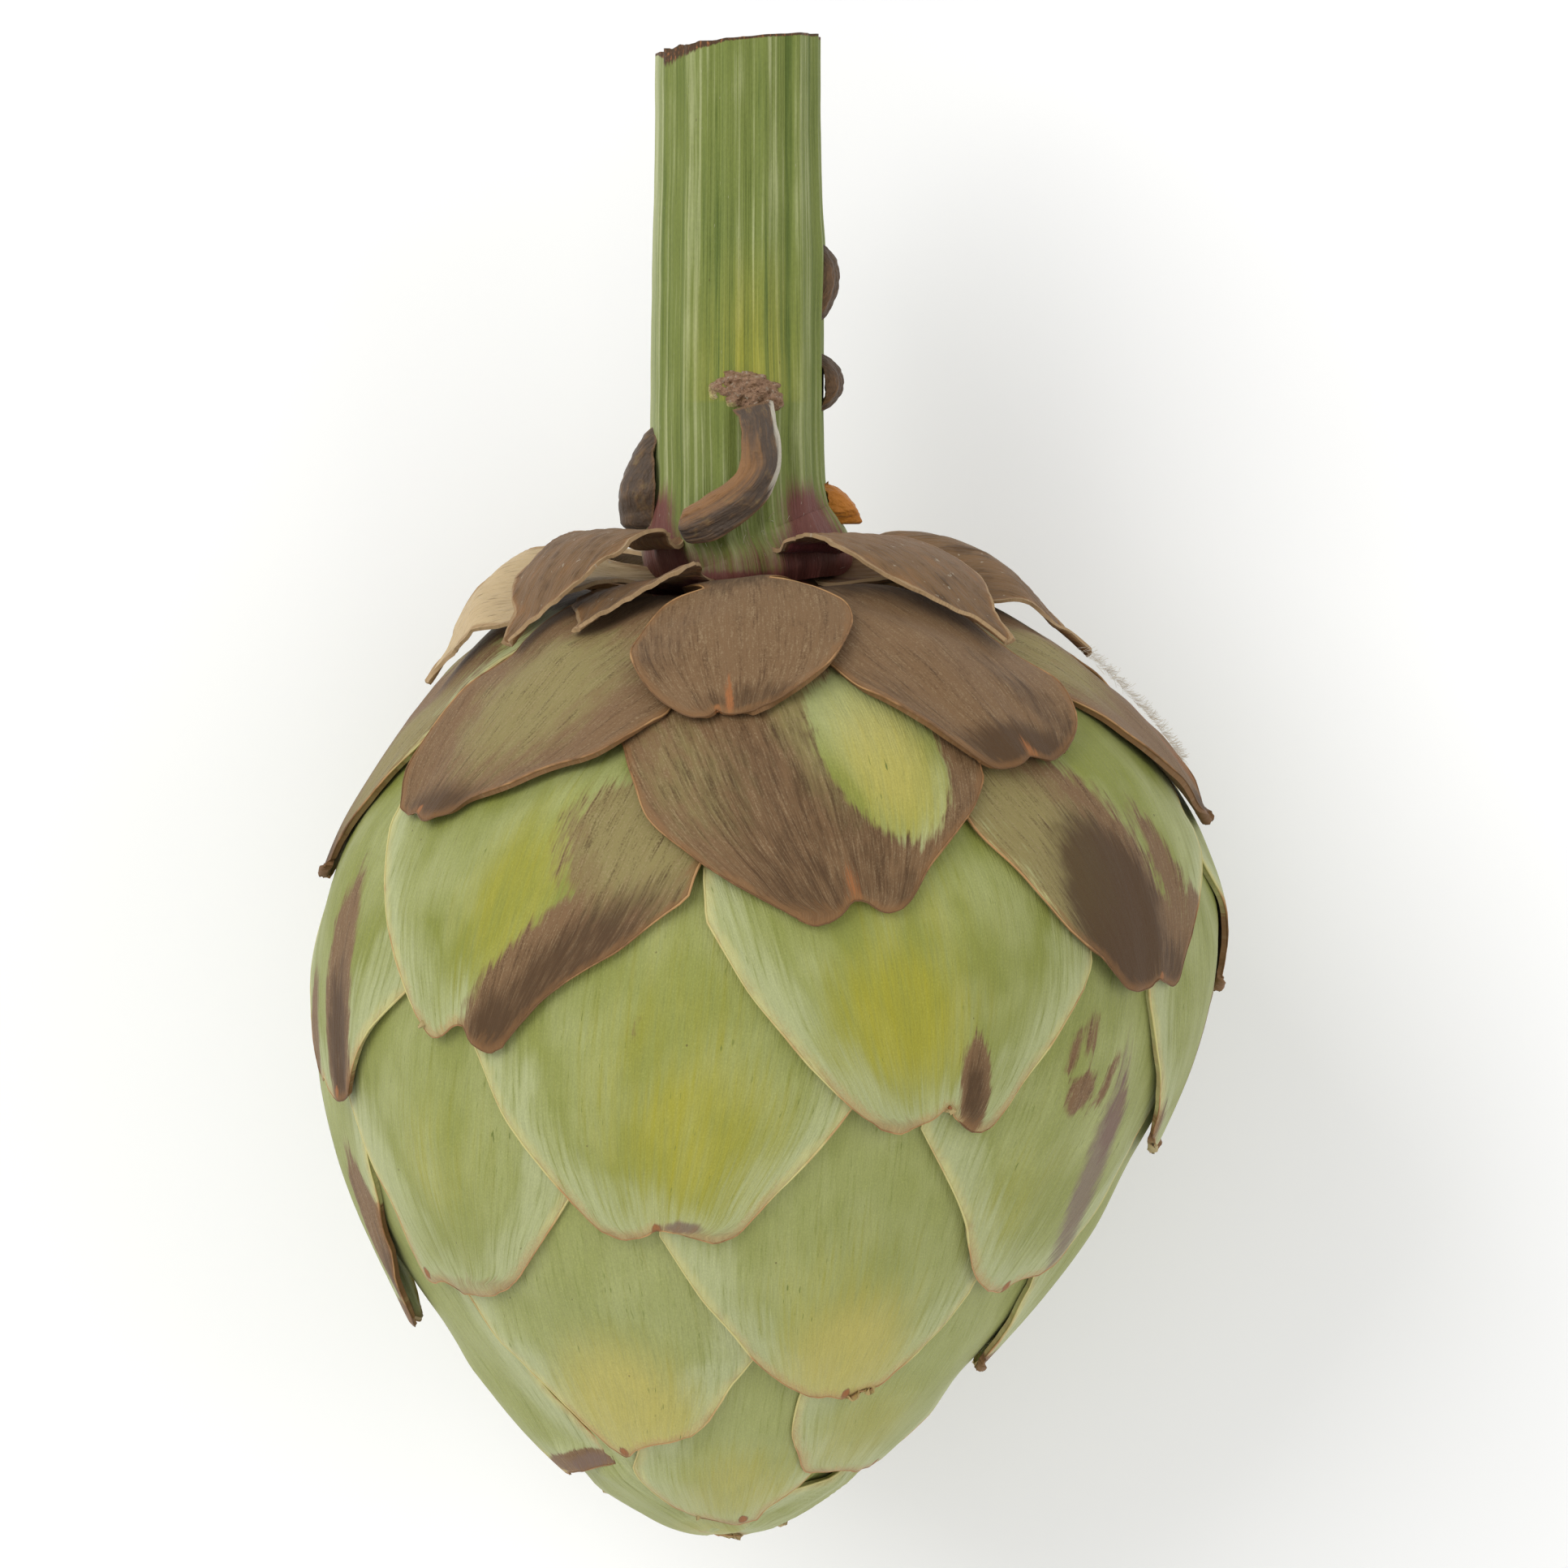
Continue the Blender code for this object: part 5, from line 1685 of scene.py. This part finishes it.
class ARTICHOKE_OT_stem(bpy.types.Operator):
    """Ribbed stem with its scar, and the dried cut end with its vessels"""

    bl_idname = "artichoke.stem"
    bl_label = "Stem"

    def execute(self, context):
        down = np.linspace(STEM_PROFILE[0][0], STEM_PROFILE[-1][0], STALK_ROWS)
        girth = np.interp(down, *curve_through(STEM_PROFILE, 8).T)
        line = round_axis(down, 0 * down, 0 * down)
        mesh = frame_mesh("stem_stalk", line, edges=chain(0, len(line)))
        store(mesh, {"girth": girth * MM})
        obj = shown("stem_stalk", mesh)
        height = sizes().rib_height / MM / girth.mean()
        swept_stem(stem_finish()).grow(obj, {"Ribs": float(sizes().ribs), "Rib height": height})
        shape_stem(obj.data)
        belongs(obj, "stem", "stem")
        add_vessels()
        add_scar()
        return {"FINISHED"}


def shape_stem(mesh):
    """Slants and tears the cut, draws the stalk in and out, and stores what its finish reads."""
    p = points_of(mesh) / MM - TO_FRAME
    down = -p[:, 1]
    axis = bend_at(down)
    aside, height = p[:, 0] - axis, p[:, 2] - REST_HEIGHT
    turn = np.arctan2(aside, height)
    radius = np.hypot(aside, height)
    profile = stem_radius_at(down)
    from_cut = down + STEM_LENGTH
    to_right, to_left = np.clip(np.sin(turn), 0, 1), np.clip(-np.sin(turn), 0, 1)

    slant = CUT_SLOPE * (profile - aside) * (1 - np.clip(from_cut / CUT_STRETCH, 0, 1))
    left = np.clip(-aside / 8, 0, 1) * np.clip(height / 4, 0, 1)
    torn = 0.28 * wander(3, turn * profile, 3.1) * np.clip(1 - from_cut / 2.5, 0, 1) * left
    off = ((turn - SCAR_TURN + math.pi) % (2 * math.pi) - math.pi) * radius
    pinch = 0.6 * np.exp(-(off / 4.5) ** 2 - ((down - SCAR_DOWN) / 4.0) ** 2)
    swollen = 0.5 * np.exp(-((down + 36) / 6) ** 2) * to_right ** 4
    flare = 1.3 * np.abs(np.sin(turn)) ** 4 * ease((down + 11) / 9)
    lift = pinch + (swollen + flare) + 0.05 * wander(8, down + 3 * turn, 21.0)
    scale = 1 + lift / np.maximum(radius, 1) * (radius > profile * 0.8)
    moved = np.stack((axis + aside * scale, -(down + slant + torn), REST_HEIGHT + height * scale), -1)
    move_points(mesh, (moved + TO_FRAME) * MM)

    above_scar = np.exp(-(off / 5.0) ** 2) * np.clip((down + 38) / 14, 0, 1) * (down < SCAR_DOWN + 1)
    foot = np.maximum(np.clip((down + 0.6) / 1.8, 0, 1), 0.62 * np.clip((down + 5.5) / 5, 0, 1))
    left_foot = np.exp(-((turn + 1.15) / 0.33) ** 2) * np.clip((down + 11.5) / 5, 0, 1)
    right_foot = np.exp(-((turn - 0.9) / 0.42) ** 2) * np.clip((down + 12) / 5, 0, 1)
    # Painted sheen: a pale band along the stem's left side and a fainter one over its right third, where the
    # lamps glance off it
    sheen_left = 0.55 * np.clip((-np.sin(turn) - 0.9) / 0.1, 0, 1)
    sheen_right = 0.25 * np.clip((np.sin(turn) - 0.5) / 0.4, 0, 1)
    store(mesh, {
        "rib": np.clip((radius - profile) / 0.3, -1.5, 1.5),
        "fibres": np.stack((turn * FIBRE_GIRTH, down, np.zeros_like(down)), -1),
        # Painted light: the left half lighter, as if lit from that side, and the stem paler towards the head
        "light": 0.20 * to_left + 0.12 * np.clip((down + 22) / 20, 0, 1) - 0.05,
        "yellow": 0.75 * above_scar,
        "bleached": sheen_left + sheen_right,
        "purple": np.clip(1.1 * foot + 1.2 * left_foot + 1.2 * right_foot, 0, 1.1),
        "dry": np.clip(1.2 - from_cut / (0.5 + 2.6 * left ** 2), 0, 1.2),
        "spread": np.where(radius < profile * 0.3, 0, radius / profile),
    })
    mesh.materials.append(cut_finish())
    nearly_cut = TO_FRAME[1] + STEM_LENGTH - 4
    ends = [face.center.y / MM > nearly_cut and abs(face.normal.y) > 0.8 for face in mesh.polygons]
    mesh.polygons.foreach_set("material_index", np.array(ends, int))
    mesh.update()
    mesh.set_sharp_from_angle(angle=math.radians(48))


def add_scar():
    """The crusted ledge where a leaf grew, with a torn and lumpy outline."""
    around = np.linspace(0, 2 * math.pi, 120, endpoint=False)
    shares = np.linspace(0.02, 1, 30)
    outline = 1 + 0.06 * wander(31, np.cos(around) * 3 + around, 1.9) + 0.05 * np.sin(around * 5)
    rings = []
    for share in shares:
        aside = SCAR_HALF_WIDTH * share * np.cos(around) * outline
        lower = SCAR_HALF_LENGTH * share * np.sin(around) * outline + 0.14 * aside
        lumps = np.array([
            0.9 * noise.fractal((x * 0.7, y * 0.9, 3.0), 0.8, 2.2, 5) for x, y in zip(aside, lower)
        ])
        crown = 2.0 * (1 - share ** 2.6) ** 0.7
        height = -0.7 + crown + lumps * (1 - share ** 6)
        rings.append(round_axis(SCAR_DOWN + lower, SCAR_TURN + aside / 10, 9.9 + height))
    mesh = closed_tube("leaf_scar", rings)
    outer = np.repeat(shares, len(around))
    lower_left = np.tile(-np.cos(around + 0.9), len(shares))
    store(mesh, {"lip": np.clip(lower_left, 0, 1) * outer ** 2 * 1.1})
    if mesh.polygons[0].normal.z < 0:
        mesh.flip_normals()
    mesh.shade_smooth()
    return belongs(shown("leaf_scar", mesh, scar_finish()), "stem")


def add_vessels():
    """Dried vessel ends that stand a little proud of the cut."""
    obj = shown("cut_vessels", bpy.data.meshes.new("cut_vessels"))
    cut_vessels(spine_finish()).grow(obj, {"Count": sizes().vessels})
    aside, height, proud = (points_of(obj.data) / MM).T
    slant = CUT_SLOPE * (STEM_PROFILE[0][1] - aside)
    placed = np.stack((aside, STEM_LENGTH - slant + proud, REST_HEIGHT + height), -1)
    move_points(obj.data, (placed + TO_FRAME) * MM)
    obj.data.flip_normals()
    return belongs(obj, "stem")


class ARTICHOKE_OT_stem_leaves(bpy.types.Operator):
    """Withered leaves that are left on the stem"""

    bl_idname = "artichoke.stem_leaves"
    bl_label = "Stem leaves"

    def execute(self, context):
        finish = withered_finish()
        for name, course in STEM_LEAVES.items():
            points, values = leaf_strip(name, course)
            obj = sheet(name + "_blade", points, LEAF_SHEET, values, finish, 60)
            belongs(obj, "stem_leaf", *(() if name == "stem_scale" else (name,)))
        return {"FINISHED"}


def leaf_strip(name, course):
    """A curled strip along a line of places beside the stem."""
    seed = len(name) * 3
    front = name == "stem_leaf_front"
    line = curve_through(course, steps=12)
    columns, rows = LEAF_GRID
    across, share = np.meshgrid(crowded(columns, 0.8), np.linspace(0, 1, rows))
    places = np.linspace(0, 1, len(line))
    down, turn, height, width = (np.interp(share, places, column) for column in line.T)
    base = stem_radius_at(down) + 0.5
    closing = np.clip((1 - share) * 14, 0.03, 1) ** 0.5
    opening = 1.0 if front else np.clip(share * 9, 0.03, 1) ** 0.5
    width = width * closing * opening
    fold = 0.16 * wander(seed, share * 20 + 2 * across, 9.0)
    aside = np.radians(turn) * base
    step_down, step_aside = np.gradient(down, axis=0), np.gradient(aside, axis=0)
    size = np.maximum(np.hypot(step_down, step_aside), 1e-6)
    reach = across * width + fold
    turn = (aside + reach * step_down / size) / base
    down = down - reach * step_aside / size
    pleat = 0.12 * np.sin(across * 7 + seed) + 0.07 * wander(seed + 1, share * 30 + 5 * across, 6.0)
    curl = 0.55 * width * (1 - across ** 2) + pleat * closing
    clasp = 0.0 if front else 1.0 * across ** 4 * np.clip(height + 1, 0, 1)
    points = round_axis(down, turn, base + height + curl - clasp * np.clip(height, 0.4, 9))
    dark = {"stem_leaf_front": 0.0, "stem_leaf_left": 0.15, "stem_scale": 0.0}.get(name, 0.75)
    values = {
        "rim": rim_distance(points),
        "dark": np.full(across.shape, dark),
        "orange": np.full(across.shape, 0.9 if name == "stem_scale" else 0.0),
        "rust": (0.8 if front else 0.4) * np.clip(0.5 - across * 0.8, 0, 1) * ease(share * 2.2),
        "silver": (0.9 if front else 0.0) * np.clip((across - 0.55) * 3, 0, 1) * ease(2.6 - share * 4),
        "fibres": np.stack((across * width, share * 20, np.full_like(share, seed)), -1),
    }
    return points, values


class ARTICHOKE_OT_inner_bud(bpy.types.Operator):
    """Innermost bracts as one closed heart under the others"""

    bl_idname = "artichoke.inner_bud"
    bl_label = "Inner bud"

    def execute(self, context):
        bracts = all_bracts()
        around = np.linspace(0, 2 * math.pi, BUD_SIDES, endpoint=False)
        stations = np.linspace(1.0, ALONG[-1] - 0.4, BUD_RINGS)
        rings = []
        for along in stations:
            where = np.full_like(around, along)
            depth, _ = layer_depth(bracts, around, where)
            rings.append(place(around, where, depth + BUD_CLEAR))
        mesh = closed_tube("inner_bud_heart", rings)
        mesh.flip_normals()
        mesh.shade_smooth()
        store(mesh, {"top": np.repeat(1 - ease((stations - 8) / 10), BUD_SIDES)})
        obj = shown("inner_bud_heart", mesh, bud_finish())
        belongs(obj, "inner_bud", "inner_bud")
        return {"FINISHED"}


class ARTICHOKE_OT_down(bpy.types.Operator):
    """Pale down at the stem's foot and along the right-hand shoulder bract"""

    bl_idname = "artichoke.down"
    bl_label = "Down"

    def execute(self, context):
        pick = random.Random(DOWN_SEED)
        hairs = []
        for _ in range(FOOT_HAIRS):
            turn = pick.uniform(-math.pi, math.pi)
            down = pick.uniform(-5.5, 0.5)
            way = np.array((math.sin(turn), pick.uniform(0.1, 0.9), math.cos(turn)))
            root = round_axis(down, turn, stem_radius_at(down))
            hairs.append((root, unit(way), pick.uniform(0.35, 0.8)))
        downy = next(bract for bract in all_bracts() if bract.name == "bract_07")
        for _ in range(EDGE_HAIRS):
            from_tip = pick.uniform(8, 24)
            side = pick.uniform(0.2, 0.95) * half_width(downy, from_tip)
            along = downy.tip - from_tip
            turn = downy.turn + downy.lean * (from_tip / downy.length) + side / radius_at(along)
            out = np.array((math.sin(turn), 0.0, math.cos(turn)))
            way = out + np.array([pick.uniform(-0.6, 0.6) for _ in range(3)])
            root = place(turn, along, -0.4 - downy.lift * 0.3)
            hairs.append((root, unit(way), pick.uniform(0.25, 0.7)))
        obj = shown("down_hairs", scatter_mesh("down_hairs", *zip(*hairs)))
        downy_hairs(down_finish()).grow(obj, {"Length": sizes().hair_length})
        belongs(obj, "stem")
        return {"FINISHED"}


# Stage

PHOTO_SIDE = 1932
MM_PER_PIXEL = 0.0939
STEM_PIXEL = 911
SHOULDER_PIXEL = 700
CAMERA_DISTANCE = 900.0
FLOOR_HALF = 1.6
# Soft lights: where each is, its side and its power
LIGHTS = {
    "key": ((-0.75, 0.55, 0.95), 0.9, 9.5), "fill": ((0.95, 0.10, 0.75), 0.9, 3.2),
    "low": ((-0.15, -0.95, 0.65), 0.9, 3.0),
}
SKY_STRENGTH = 0.66


class ARTICHOKE_OT_stage(bpy.types.Operator):
    """Pale floor, soft lights and the camera that looks down on the artichoke"""

    bl_idname = "artichoke.stage"
    bl_label = "Stage"

    def execute(self, context):
        corners = [(FLOOR_HALF * x, FLOOR_HALF * y, 0) for x, y in ((-1, -1), (1, -1), (1, 1), (-1, 1))]
        mesh = bpy.data.meshes.new("studio_floor")
        mesh.from_pydata(corners, [], [(0, 1, 2, 3)])
        floor = shown("studio_floor", mesh, floor_finish())
        middle = PHOTO_SIDE / 2
        aside, up = (middle - STEM_PIXEL) * MM_PER_PIXEL, (SHOULDER_PIXEL - middle) * MM_PER_PIXEL
        target = (np.array((aside, up, REST_HEIGHT)) + TO_FRAME) * MM
        data = bpy.data.cameras.new("photo_camera")
        data.lens = data.sensor_width * CAMERA_DISTANCE / (PHOTO_SIDE * MM_PER_PIXEL)
        camera = bpy.data.objects.new("photo_camera", data)
        camera.location = (target[0], target[1], target[2] + CAMERA_DISTANCE * MM)
        context.scene.collection.objects.link(camera)
        context.scene.camera = camera
        for name, settings in LIGHTS.items():
            softbox(name, *settings)
        world = bpy.data.worlds.new("studio")
        world.use_nodes = True
        sky = world.node_tree.nodes["Background"]
        sky.inputs["Color"].default_value = (1.0, 1.0, 1.0, 1.0)
        sky.inputs["Strength"].default_value = SKY_STRENGTH
        context.scene.world = world
        context.scene.view_settings.view_transform = "Standard"
        return {"FINISHED"}


def softbox(name, place_at, size, power):
    """A square soft light that faces the artichoke."""
    data = bpy.data.lights.new(name, "AREA")
    data.shape = "SQUARE"
    data.size = size
    data.energy = power
    light = bpy.data.objects.new(name, data)
    light.location = place_at
    away = np.array(place_at) - np.array((0.0, 0.0, 0.05))
    pitch = math.atan2(math.hypot(away[0], away[1]), away[2])
    light.rotation_euler = (pitch, 0.0, math.atan2(away[0], -away[1]))
    bpy.context.scene.collection.objects.link(light)


class ARTICHOKE_PT_panel(bpy.types.Panel):
    bl_label = "Artichoke"
    bl_idname = "ARTICHOKE_PT_panel"
    bl_space_type = "VIEW_3D"
    bl_region_type = "UI"
    bl_category = "Artichoke"

    def draw(self, context):
        for operator in OPERATORS:
            self.layout.operator(operator.bl_idname)
        for settings in (sizes(), colours()):
            for name in settings.__annotations__:
                self.layout.prop(settings, name)


OPERATORS = (
    ARTICHOKE_OT_bracts, ARTICHOKE_OT_dried_bracts, ARTICHOKE_OT_inner_bud, ARTICHOKE_OT_stem,
    ARTICHOKE_OT_stem_leaves, ARTICHOKE_OT_down, ARTICHOKE_OT_stage,
)
CLASSES = (ArtichokeSizes, ArtichokeColours, *OPERATORS, ARTICHOKE_PT_panel)


def register():
    for item in CLASSES:
        bpy.utils.register_class(item)
    bpy.types.Scene.artichoke_sizes = PointerProperty(type=ArtichokeSizes)
    bpy.types.Scene.artichoke_colours = PointerProperty(type=ArtichokeColours)


def unregister():
    del bpy.types.Scene.artichoke_colours
    del bpy.types.Scene.artichoke_sizes
    for item in reversed(CLASSES):
        bpy.utils.unregister_class(item)


def main():
    register()
    bpy.ops.artichoke.bracts()
    bpy.ops.artichoke.dried_bracts()
    bpy.ops.artichoke.inner_bud()
    bpy.ops.artichoke.stem()
    bpy.ops.artichoke.stem_leaves()
    bpy.ops.artichoke.down()
    bpy.ops.artichoke.stage()
    bpy.context.view_layer.update()


if __name__ == "__main__":
    main()
